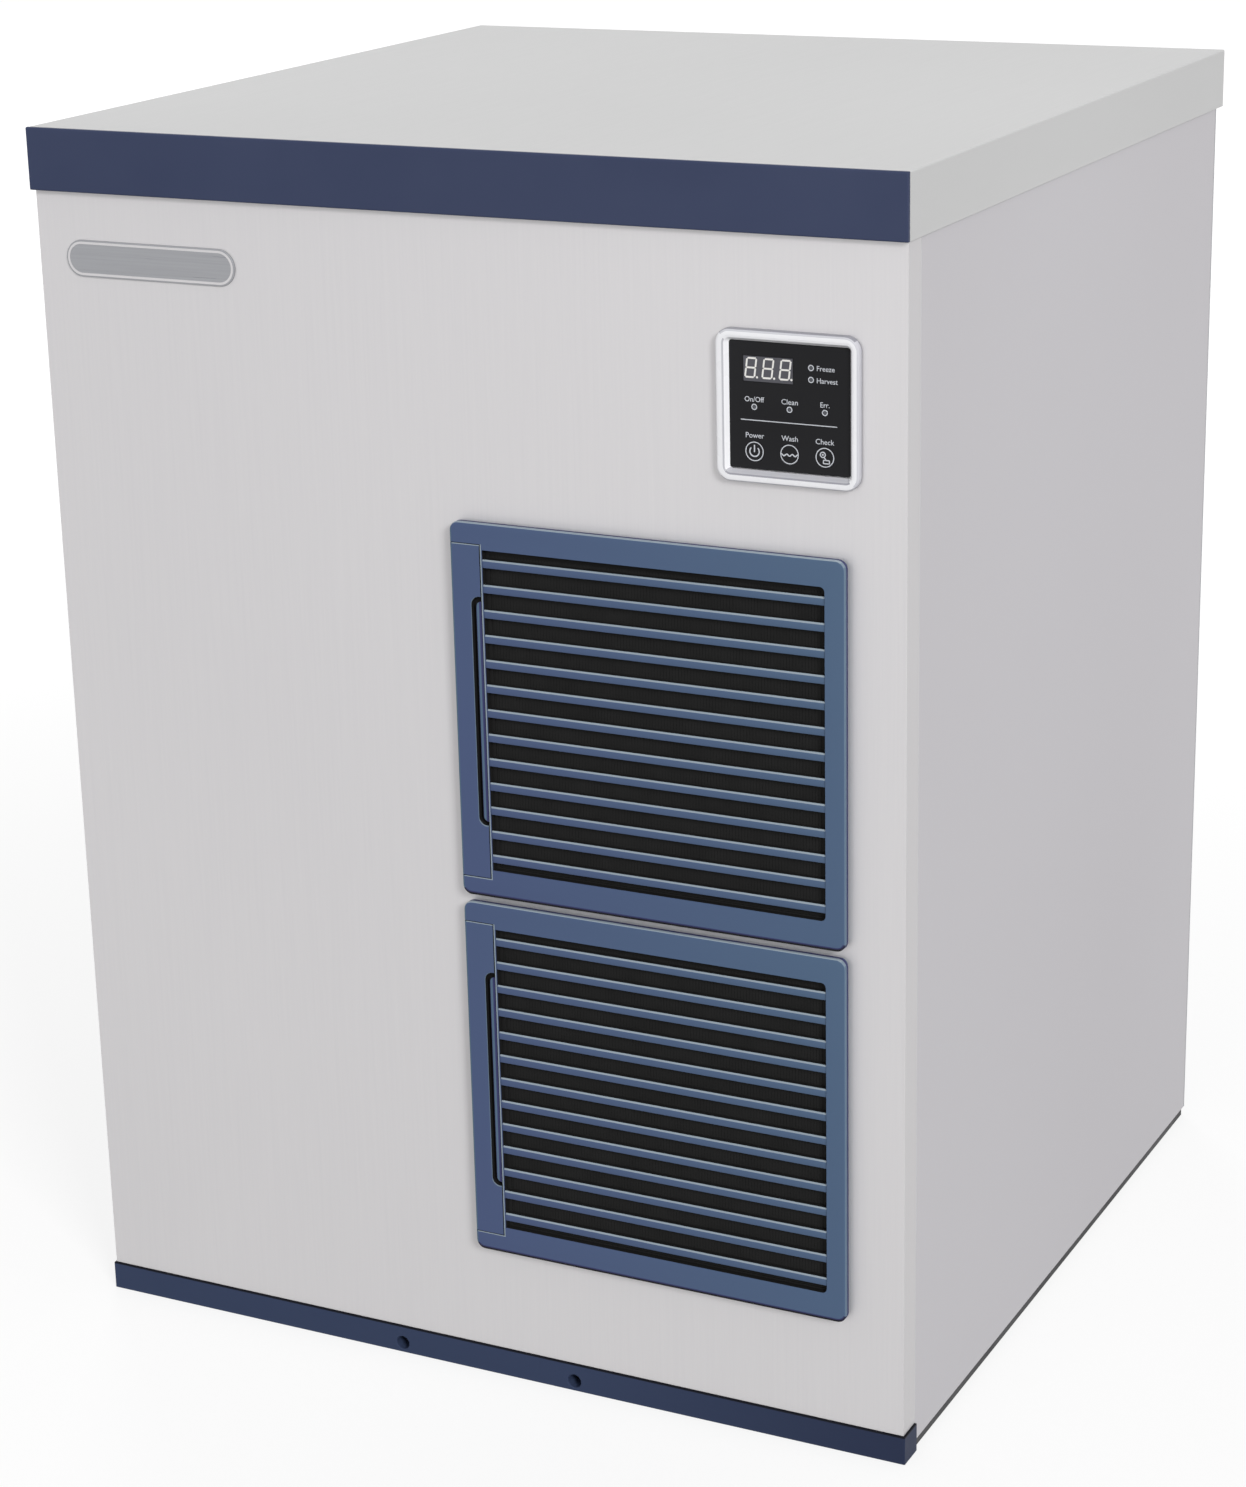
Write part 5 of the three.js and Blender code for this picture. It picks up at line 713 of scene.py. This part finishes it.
def handle_faces(z):
    """The cartridge's handle bar with its finger notch, the left edge rounded like the grille's."""
    top, bottom = z + HANDLE_HALF, z - HANDLE_HALF
    faces = edge_run([(GRILLE_LEFT, top, -1, 0), (GRILLE_LEFT, bottom, -1, 0)], FILTER_FRONT)
    high, low = z + NOTCH_RISE + NOTCH_HALF, z + NOTCH_RISE - NOTCH_HALF
    notch = [(HANDLE_RIGHT, high, 0, 1)]
    notch += corner_path(NOTCH_LEFT + NOTCH_ROUND, high - NOTCH_ROUND, NOTCH_ROUND, 90)
    notch += corner_path(NOTCH_LEFT + NOTCH_ROUND, low + NOTCH_ROUND, NOTCH_ROUND, 180)
    notch += [(HANDLE_RIGHT, low, 0, -1)]
    rim = [point[:2] for point in notch]
    outside = [(x + u * notch_highlight_width(u, v), level + v * notch_highlight_width(u, v)) for x, level, u, v in notch]
    for i in range(len(rim) - 1):
        # Painted light round the notch, a lighter tone at its lower left.
        lit = PAINTED_MID_LIGHT if notch[i][3] < -0.3 and notch[i][2] < -0.1 else PAINTED_SOFT_LIGHT
        faces.append(flat([rim[i], outside[i], outside[i + 1], rim[i + 1]], GRILLE_FRONT, lit))
    inset = GRILLE_LEFT + FACE_INSET
    body = [(inset, bottom), (inset, top - HIGHLIGHT_STRIP), (HANDLE_RIGHT, top - HIGHLIGHT_STRIP)]
    faces.append(flat(body + outside + [(HANDLE_RIGHT, bottom)], GRILLE_FRONT, BLUE))
    # The painted highlight strip just below the upper seam.
    highlight_strip = [(inset, top - HIGHLIGHT_STRIP), (inset, top), (HANDLE_RIGHT, top), (HANDLE_RIGHT, top - HIGHLIGHT_STRIP)]
    faces.append(flat(highlight_strip, GRILLE_FRONT, PAINTED_HIGHLIGHT))
    # Painted deep shade on the notch's walls and the handle's ends.
    edge = [(HANDLE_RIGHT, top)] + rim + [(HANDLE_RIGHT, bottom)]
    faces += wall(edge, GRILLE_FRONT, FILTER_FRONT, PAINTED_DEEP_SHADE)
    section = [(GRILLE_LEFT + inset, y) for inset, y in edge_rows(FILTER_FRONT, 0)]
    section += [(HANDLE_RIGHT, FILTER_FRONT), (HANDLE_RIGHT, GRILLE_FRONT)]
    return faces + [shelf(section, top, PAINTED_DEEP_SHADE), shelf(section, bottom, PAINTED_DEEP_SHADE)]


def cartridge_faces(z):
    """The handle, the filter's frame behind the slats and the ribs behind its net, frame and ribs in
    painted deep shade.
    """
    half, inner = HANDLE_HALF, HANDLE_HALF - FILTER_RIM
    depth, ribs = (FILTER_FRONT, FILTER_BACK), (FILTER_BACK - FILTER_RIB, FILTER_BACK)
    net, tall = (NET_LEFT, NET_RIGHT), (z - half, z + half)
    faces = handle_faces(z)
    faces += bar((GRILLE_LEFT, NET_LEFT), depth, tall, PAINTED_DEEP_SHADE)
    faces += bar((NET_RIGHT, FILTER_RIGHT), depth, tall, PAINTED_DEEP_SHADE)
    faces += bar(net, depth, (z + inner, z + half), PAINTED_DEEP_SHADE)
    faces += bar(net, depth, (z - half, z - inner), PAINTED_DEEP_SHADE)
    for i in (1, 2):
        x = NET_LEFT + (NET_RIGHT - NET_LEFT) * i / 3
        faces += bar((x - FILTER_RIB / 2, x + FILTER_RIB / 2), ribs, (z - inner, z + inner), PAINTED_DEEP_SHADE)
    return faces + bar(net, ribs, (z - FILTER_RIB / 2, z + FILTER_RIB / 2), PAINTED_DEEP_SHADE)


def threads(low, high, count):
    """The spans of evenly spread threads, cut off at both ends."""
    middles = [low + (high - low) / count * i for i in range(count + 1)]
    return [(max(low, middle - THREAD / 2), min(high, middle + THREAD / 2)) for middle in middles]


def net_faces(z):
    """A woven net: flat threads both ways before a thin sheet, the uprights in front."""
    half = HANDLE_HALF - FILTER_RIM
    wide, tall = (NET_LEFT, NET_RIGHT), (z - half, z + half)
    back = FILTER_BACK - FILTER_RIB - 0.3
    sheet = back - 0.1
    faces = bar(wide, (sheet, back), tall)
    for span in threads(*wide, NET_COLUMNS):
        faces += bar(span, (sheet - 2 * NET_PLY, sheet - NET_PLY), tall)
    for span in threads(*tall, NET_ROWS):
        faces += bar(wide, (sheet - NET_PLY, sheet), span)
    return faces


def build_grille(level):
    """One grille with its slats, its cartridge and its net."""
    low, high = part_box(level + "_grille")
    middle = (low.z + high.z) / 2 / MM
    shell = grille_shell(middle) + ridge_faces(middle)
    for i in range(SLATS):
        shell += slat_faces(middle + WINDOW_RISE - SLAT_DROP + (i - (SLATS - 1) / 2) * SLAT_PITCH)
    tall = (middle - HANDLE_HALF - SEAM, middle + HANDLE_HALF + SEAM)
    stile_back = STILE_FRONT + STILE_DEPTH
    for left, right, look in STILE_STRIPS:
        ends = (HANDLE_RIGHT + left, HANDLE_RIGHT + right)
        shell += bar(ends, (STILE_FRONT, stile_back), tall, look)
    # A block of painted deep shade behind the strips.
    core = (HANDLE_RIGHT + STILE_STRIPS[0][0], WINDOW_LEFT + 0.2)
    shell += bar(core, (stile_back + 0.01, SHELL_BACK), tall, PAINTED_DEEP_SHADE)
    solid(level + "_grille_fine", shell, level + "_grille", blues)
    solid(level + "_filter_frame_fine", cartridge_faces(middle), level + "_filter_frame", blues)
    solid(level + "_filter_net", net_faces(middle), level + "_filter_mesh", [looks["filter_net"]])


for level in ("lower", "upper"):
    build_grille(level)

# The bezel's section: inset, y and the look above, right, below and left: 0 is the silver, 1 deep, 2 soft
# and 3 mid painted shade
BEZEL_FRONT, NECK_BACK = -0.7, 16.3
BEZEL_SIZE, BEZEL_CORNER = 84.9, 8.4
BEZEL_DRIFT = (0.7, 0.15)  # from the middle of the outer outlines to that of the inner ones
DRIFT_END = 6  # the inset where the drift is complete
PLAIN = (0, 0, 0, 0)
BEZEL = [
    (0, PANEL_FACE, (1, 1, 1, 2)), (0, 3, (1, 2, 1, 2)), (0, 1, (1, 2, 2, 2)), (0.1, 0.3, (1, 2, 2, 0)),
    (0.4, -0.3, (2, 2, 2, 0)), (0.9, -0.6, (2, 2, 0, 0)), (1.5, BEZEL_FRONT, PLAIN),
    (3.7, BEZEL_FRONT, (0, 0, 1, 3)), (3.85, -0.55, (0, 0, 1, 3)), (4.7, -0.5, (0, 0, 3, 0)),
    (4.9, -0.4, (0, 0, 3, 0)), (5.3, 0, (0, 0, 3, 0)), (6.2, 1.9, (0, 0, 3, 0)), (6.6, 2.2, PLAIN),
    (6.62, 4.2, PLAIN), (10.8, 4.2, PLAIN), (10.8, NECK_BACK, PLAIN), (4.6, NECK_BACK, PLAIN),
    (4.6, PANEL_FACE, PLAIN)]


def side_of(x, z):
    """0 above, 1 right, 2 below, 3 left of a middle that lies at x, z from it."""
    if abs(z) > abs(x):
        return 0 if z > 0 else 2
    return 1 if x > 0 else 3


def bezel_loop(centre, inset, y):
    """A rounded square that lies inside the bezel's outer edge by the inset."""
    share = min(inset / DRIFT_END, 1)
    x, z = centre[0] + BEZEL_DRIFT[0] * share, centre[1] + BEZEL_DRIFT[1] * share
    radius = max(BEZEL_CORNER - inset, 0.2)
    reach = BEZEL_SIZE / 2 - inset - radius
    loop = []
    for sx, sz, start in ((1, -1, 270), (1, 1, 0), (-1, 1, 90), (-1, -1, 180)):
        for u, v in directions(start, 90, 10):
            loop.append((x + sx * reach + radius * u, y, z + sz * reach + radius * v))
    return loop


def build_bezel():
    low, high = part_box("control_bezel")
    centre = ((low.x + high.x) / 2 / MM - 0.45, (low.z + high.z) / 2 / MM - 0.5)
    loops = [bezel_loop(centre, inset, y) for inset, y, _ in BEZEL]
    faces = []
    for (_, _, sides), loop, after in zip(BEZEL, loops, loops[1:] + loops[:1]):
        for i in range(len(loop)):
            j = (i + 1) % len(loop)
            middle_x, middle_z = (loop[i][0] + loop[j][0]) / 2, (loop[i][2] + loop[j][2]) / 2
            side = side_of(middle_x - centre[0], middle_z - centre[1])
            faces.append(([loop[i], loop[j], after[j], after[i]], sides[side]))
    materials = [looks["silver_bezel"], bezel_deep_shade_paint, bezel_soft_shade_paint, bezel_mid_shade_paint]
    solid("control_bezel_fine", faces, "control_bezel", materials, 40)


build_bezel()
refine("control_overlay", 0.08)


# Printed marks, as thin raised shapes on the panel's film
PRINT = 0.05  # how far they stand out
SINK = 0.02  # how far they reach in


def outline_mesh(shapes, top, bottom, name):
    """Thin slabs from y=bottom out to y=top, each an (x, z) outline or an outer and an inner one."""
    mesh = bpy.data.meshes.new(name)
    bm = bmesh.new()
    for shape in shapes:
        outlines = shape if isinstance(shape[0][0], (tuple, list)) else [shape]
        loops = [
            [bm.verts.new(place(x, y, z)) for x, z in line]
            for line in outlines for y in (top, bottom)]
        if len(outlines) == 1:
            bm.faces.new(loops[0])
            bm.faces.new(reversed(loops[1]))
            bands = [loops]
        else:
            front, rear, inner_front, inner_rear = loops
            bands = [(front, rear), (rear, inner_rear), (inner_rear, inner_front), (inner_front, front)]
        for first, second in bands:
            for i in range(len(first)):
                bm.faces.new((first[i - 1], second[i - 1], second[i], first[i]))
    bmesh.ops.recalc_face_normals(bm, faces=bm.faces)
    bm.to_mesh(mesh)
    bm.free()
    return mesh


def arc(x, z, radius, start, sweep, count):
    return [(x + radius * u, z + radius * v) for u, v in directions(start, sweep, count)]


def circle(x, z, radius, count=40):
    return arc(x, z, radius, 0, 360, count)[:-1]


def ring(x, z, radius, width, count=40):
    return [circle(x, z, radius, count), circle(x, z, radius - width, count)]


def stroke(points, width):
    """A line of that width along points, with square ends and mitred turns."""
    left, right = [], []
    for i, point in enumerate(points):
        before = Vector(points[max(i - 1, 0)])
        after = Vector(points[min(i + 1, len(points) - 1)])
        run = (after - before).normalized()
        normal = Vector((-run.y, run.x)) * width / 2
        left.append(tuple(Vector(point) + normal))
        right.append(tuple(Vector(point) - normal))
    return left + right[::-1]


def loop_stroke(points, width):
    """A line along closed points, as an outer and an inner outline."""
    outer, inner = [], []
    count = len(points)
    for i, point in enumerate(points):
        run = (Vector(points[(i + 1) % count]) - Vector(points[i - 1])).normalized()
        normal = Vector((run.y, -run.x)) * width / 2
        outer.append(tuple(Vector(point) + normal))
        inner.append(tuple(Vector(point) - normal))
    return [outer, inner]


def rounded_box(x0, x1, z0, z1, radius, count):
    corners = [(x1 - radius, z0 + radius, -90), (x1 - radius, z1 - radius, 0),
               (x0 + radius, z1 - radius, 90), (x0 + radius, z0 + radius, 180)]
    return [point for x, z, start in corners for point in arc(x, z, radius, start, 90, count)]


def printed(name, shapes, node, material=white_print, slot="overlay_black"):
    face = front_of(node)
    mesh = outline_mesh(shapes, face - PRINT, face + SINK, name)
    return piece(name, mesh, body_of_node[node], slot, material)


# Display: three figures of seven bars, and their points
FIGURE_WIDTH, FIGURE_HEIGHT, FIGURE_BAR, FIGURE_LEAN, FIGURE_PITCH = 6.5, 11.5, 1.0, 1.45, 10.17
FIGURE_LEFT, FIGURE_FOOT = 0.4, 1.75  # from the window's corner
FIGURE_GAP = 0.12  # between two bars
POINT_X, POINT_Z, POINT_RADIUS = FIGURE_WIDTH + 1.15, 0.6, 0.65


def figure(x, z):
    """The seven bars of one figure whose lower left corner is at (x, z)."""
    half = FIGURE_BAR / 2
    low, middle, high = half, FIGURE_HEIGHT / 2, FIGURE_HEIGHT - half
    right = FIGURE_WIDTH - half

    def slanted(points):
        return [(x + px + (pz / FIGURE_HEIGHT) * FIGURE_LEAN, z + pz) for px, pz in points]

    def level(centre):
        a, b = half + FIGURE_GAP, right - FIGURE_GAP
        return slanted([
            (a, centre), (a + half, centre - half), (b - half, centre - half),
            (b, centre), (b - half, centre + half), (a + half, centre + half)])

    def upright(centre, foot, head):
        a, b = foot + FIGURE_GAP, head - FIGURE_GAP
        return slanted([
            (centre, a), (centre + half, a + half), (centre + half, b - half),
            (centre, b), (centre - half, b - half), (centre - half, a + half)])

    return [
        level(low), level(middle), level(high),
        upright(half, low, middle), upright(half, middle, high),
        upright(right, low, middle), upright(right, middle, high)]


def display_figures():
    low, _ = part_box("display_window")
    bottom = low.z / MM + FIGURE_FOOT
    shapes = []
    for i in range(3):
        left = low.x / MM + FIGURE_LEFT + FIGURE_PITCH * i
        shapes += figure(left, bottom)
        shapes.append(circle(left + POINT_X, bottom + POINT_Z, POINT_RADIUS, 12))
    printed("display_figures", shapes, "display_window", digit_white, "display_lens")


display_figures()

# Lamps, the line above the keys and the words, placed from the film's lower left corner
FILM_LEFT, FILM_FOOT = corner_of("control_overlay")
LAMP_RING, LAMP_LINE, LAMP_LENS = 1.7, 0.5, 1.15
LAMPS = [
    (FILM_LEFT + x, FILM_FOOT + z)
    for x, z in ((48.5, 58.6), (48.5, 52.1), (14.85, 34.7), (35.75, 34.7), (56.55, 34.6))]
DIVIDER = [(FILM_LEFT + x, FILM_FOOT + 27.3) for x in (6.8, 63.7)]
printed("lamp_rings", [ring(x, z, LAMP_RING, LAMP_LINE, 28) for x, z in LAMPS], "control_overlay")
printed("lamp_lenses", [circle(x, z, LAMP_LENS, 20) for x, z in LAMPS], "control_overlay", lamp_lens)
printed("divider_line", [stroke(DIVIDER, 0.5)], "control_overlay")

CAP_SHARE = 0.73  # height of a capital, as a share of the letter size
WORDS = [  # piece, text, left and right end, foot, height of a capital
    ("word_freeze", "Freeze", 51.95, 62.3, 57.2, 2.95),
    ("word_harvest", "Harvest", 51.95, 64.1, 50.55, 2.95),
    ("word_on_off", "On/Off", 9.2, 20.8, 37.5, 3.0),
    ("word_clean", "Clean", 31.0, 40.7, 37.5, 3.0),
    ("word_error", "Err.", 53.95, 59.3, 37.45, 3.0),
    ("word_power", "Power", 9.65, 20.6, 17.45, 3.05),
    ("word_wash", "Wash", 30.9, 40.6, 17.3, 3.05),
    ("word_check", "Check", 51.1, 62.0, 17.1, 3.05),
]


def letters(name, text):
    """A word as solid letters, in units of the letter size."""
    curve = bpy.data.curves.new(name, "FONT")
    curve.body = text
    curve.size = 1
    curve.extrude = 0.5
    curve.resolution_u = 3
    curve.offset = 0.004
    holder = bpy.data.objects.new(name + "_outline", curve)
    scene.collection.objects.link(holder)
    bpy.context.view_layer.update()
    evaluated = holder.evaluated_get(bpy.context.evaluated_depsgraph_get())
    mesh = bpy.data.meshes.new_from_object(evaluated)
    bpy.data.objects.remove(holder)
    mesh.name = name
    return mesh


def word(name, text, left, right, foot, cap):
    """Generic lettering on the film, stretched to its ends and its capitals' height."""
    node = "control_overlay"
    mesh = letters(name, text)
    ends = [vertex.co.x for vertex in mesh.vertices]
    start, wide = min(ends), max(ends) - min(ends)
    face = front_of(node)
    for vertex in mesh.vertices:
        x, z, depth = vertex.co
        vertex.co = place(
            FILM_LEFT + left + (x - start) / wide * (right - left),
            face - PRINT if depth > 0 else face + SINK,
            FILM_FOOT + foot + z / CAP_SHARE * cap)
    mesh.flip_normals()
    return piece(name, mesh, body_of_node[node], "overlay_black", white_print)


for row in WORDS:
    word(*row)

# Keys: a ring and a sign on each
KEY_RING, KEY_LINE = 5.45, 0.52
SIGN_LINE, FINE_LINE = 0.7, 0.6


def key_sign(name, x, z, shapes):
    printed(name + "_sign", [ring(x, z, KEY_RING, KEY_LINE)] + shapes, name)


def power_sign(name):
    """An open circle with a stroke from its middle up."""
    x, z = centre_of(name)
    key_sign(name, x, z, [
        stroke(arc(x, z, 2.8, 135, 270, 30), SIGN_LINE),
        stroke([(x, z - 0.4), (x, z + 3.7)], SIGN_LINE)])


def wash_sign(name):
    """A line with three waves."""
    x, z = centre_of(name)
    steps = 48
    wave = [
        (x - 4.95 + 9.9 * i / steps, z - 0.4 + 0.5 * math.cos(2 * math.pi * 3 * i / steps))
        for i in range(steps + 1)]
    key_sign(name, x, z, [stroke(wave, SIGN_LINE)])


def check_sign(name):
    """A ring with a dot, joined to a small box."""
    x, z = centre_of(name)
    key_sign(name, x, z, [
        ring(x - 1.2, z + 1.5, 1.75, FINE_LINE), circle(x - 1.2, z + 1.5, 0.5, 14),
        stroke([(x - 0.4, z), (x + 0.7, z - 1.4)], FINE_LINE),
        loop_stroke(rounded_box(x - 0.9, x + 2.7, z - 3.3, z - 1.5, 0.4, 3), FINE_LINE)])


power_sign("key_power")
wash_sign("key_wash")
check_sign("key_check")

# Blank plate in the maker's place
PLATE_X, PLATE_Z = 80 - WIDTH / 2, HEIGHT - 76.5
PLATE_WIDTH, PLATE_HEIGHT, PLATE_ROUND = 118, 22, 11


def plate_outline(inset):
    half, tall = PLATE_WIDTH / 2 - inset, PLATE_HEIGHT / 2 - inset
    return rounded_box(
        PLATE_X - half, PLATE_X + half, PLATE_Z - tall, PLATE_Z + tall, PLATE_ROUND - inset, 12)


def blank_plate():
    """A plate with rounded edges and a thin rim on it."""
    panel = front_of("front_panel")
    mesh = outline_mesh([plate_outline(0)], panel - 1.1, panel + 0.01, "blank_plate")
    plate = piece("blank_plate", mesh, "ice_maker", "stainless", plate_steel)
    shade_smooth(mesh, 35)
    edge = plate.modifiers.new("rounded", "BEVEL")
    edge.width = 0.5 * MM
    edge.segments = 3
    edge.limit_method = "ANGLE"
    edge.angle_limit = math.radians(50)
    rim = [plate_outline(1), plate_outline(2.4)]
    mesh = outline_mesh([rim], panel - 1.35, panel - 1.0, "blank_plate_rim")
    piece("blank_plate_rim", mesh, "ice_maker", "stainless", front_steel)


blank_plate()


# Light, world and floor
def area(name, at, aim, size, power):
    data = bpy.data.lights.new(name, "AREA")
    data.shape = "RECTANGLE"
    data.size = data.size_y = size
    data.energy = power
    lamp = bpy.data.objects.new(name, data)
    scene.collection.objects.link(lamp)
    lamp.location = at
    lamp.rotation_mode = "QUATERNION"
    lamp.rotation_quaternion = (Vector(aim) - Vector(at)).to_track_quat("-Z", "Y")
    return lamp


key_light = area("key_light", (9.2, -8.2, 6.2), (0, 0, 0.4), 3.6, 1230)
area("front_light", (-0.8, -10.8, 1.4), (0, 0, 0.3), 5.2, 300)
area("top_light", (0.4, 0.2, 3.4), (0, 0, 0.7), 2.4, 11)
rear_light = area("rear_light", (-4.0, 5.5, 3.0), (0, 0, 0.4), 2.4, 120)
for lamp in (key_light, rear_light):
    lamp.visible_glossy = False  # no glare on the top from the far side

WORLD_LIGHT = 0.42
FLOOR_REACH, FLOOR_DROP = 30, 0.0002
FLOOR_GREY = (0.2, 0.2, 0.2, 1)
GLOW_START, GLOW_END = 0.4, 2.2  # in m from the middle of the floor
GLOW_NEAR, GLOW_FAR = 0.8, 0.925  # the floor's own light at these two
WHITE = (1, 1, 1, 1)


def seen(nodes):
    """1 for what the camera, reflections and clear plastic see, 0 for the light that falls on things."""
    rays = nodes.add("ShaderNodeLightPath").outputs
    either = nodes.maths("MAXIMUM", rays["Is Camera Ray"], rays["Is Glossy Ray"])
    return nodes.maths("MAXIMUM", either, rays["Is Transmission Ray"])


def make_world():
    """White to look at, dimmer as a source of light."""
    world = bpy.data.worlds.new("world")
    scene.world = world
    world.use_nodes = True
    nodes = Nodes(world.node_tree, "ShaderNodeOutputWorld")
    mix = nodes.add("ShaderNodeMixShader")
    nodes.link(seen(nodes), mix.inputs[0])
    for i, strength in ((1, WORLD_LIGHT), (2, 1)):
        sky = nodes.add("ShaderNodeBackground")
        sky.inputs[0].default_value = WHITE
        sky.inputs[1].default_value = strength
        nodes.link(sky.outputs[0], mix.inputs[i])
    nodes.link(mix.outputs[0], nodes.output.inputs[0])


def make_floor():
    """A grey floor that takes shadows, with a glow that brings it up to white where it is seen."""
    mesh = bpy.data.meshes.new("floor")
    signs = ((-1, -1), (1, -1), (1, 1), (-1, 1))
    corners = [(x * FLOOR_REACH, y * FLOOR_REACH, -FLOOR_DROP) for x, y in signs]
    mesh.from_pydata(corners, [], [(0, 1, 2, 3)])
    floor = bpy.data.objects.new("floor", mesh)
    scene.collection.objects.link(floor)
    material = bpy.data.materials.new("floor")
    material.use_nodes = True
    nodes = Nodes(material.node_tree, "ShaderNodeOutputMaterial")
    matte = nodes.add("ShaderNodeBsdfDiffuse")
    matte.inputs[0].default_value = FLOOR_GREY
    away = nodes.add("ShaderNodeVectorMath", operation="LENGTH")
    nodes.link(nodes.add("ShaderNodeTexCoord").outputs["Object"], away.inputs[0])
    level = nodes.spread(
        away.outputs["Value"], GLOW_START, GLOW_END, GLOW_NEAR, GLOW_FAR,
        interpolation_type="SMOOTHSTEP")
    glow = nodes.add("ShaderNodeEmission")
    nodes.link(nodes.maths("MULTIPLY", seen(nodes), level), glow.inputs[1])
    both = nodes.add("ShaderNodeAddShader")
    nodes.link(matte.outputs[0], both.inputs[0])
    nodes.link(glow.outputs[0], both.inputs[1])
    nodes.link(both.outputs[0], nodes.output.inputs[0])
    mesh.materials.append(material)


make_world()
make_floor()
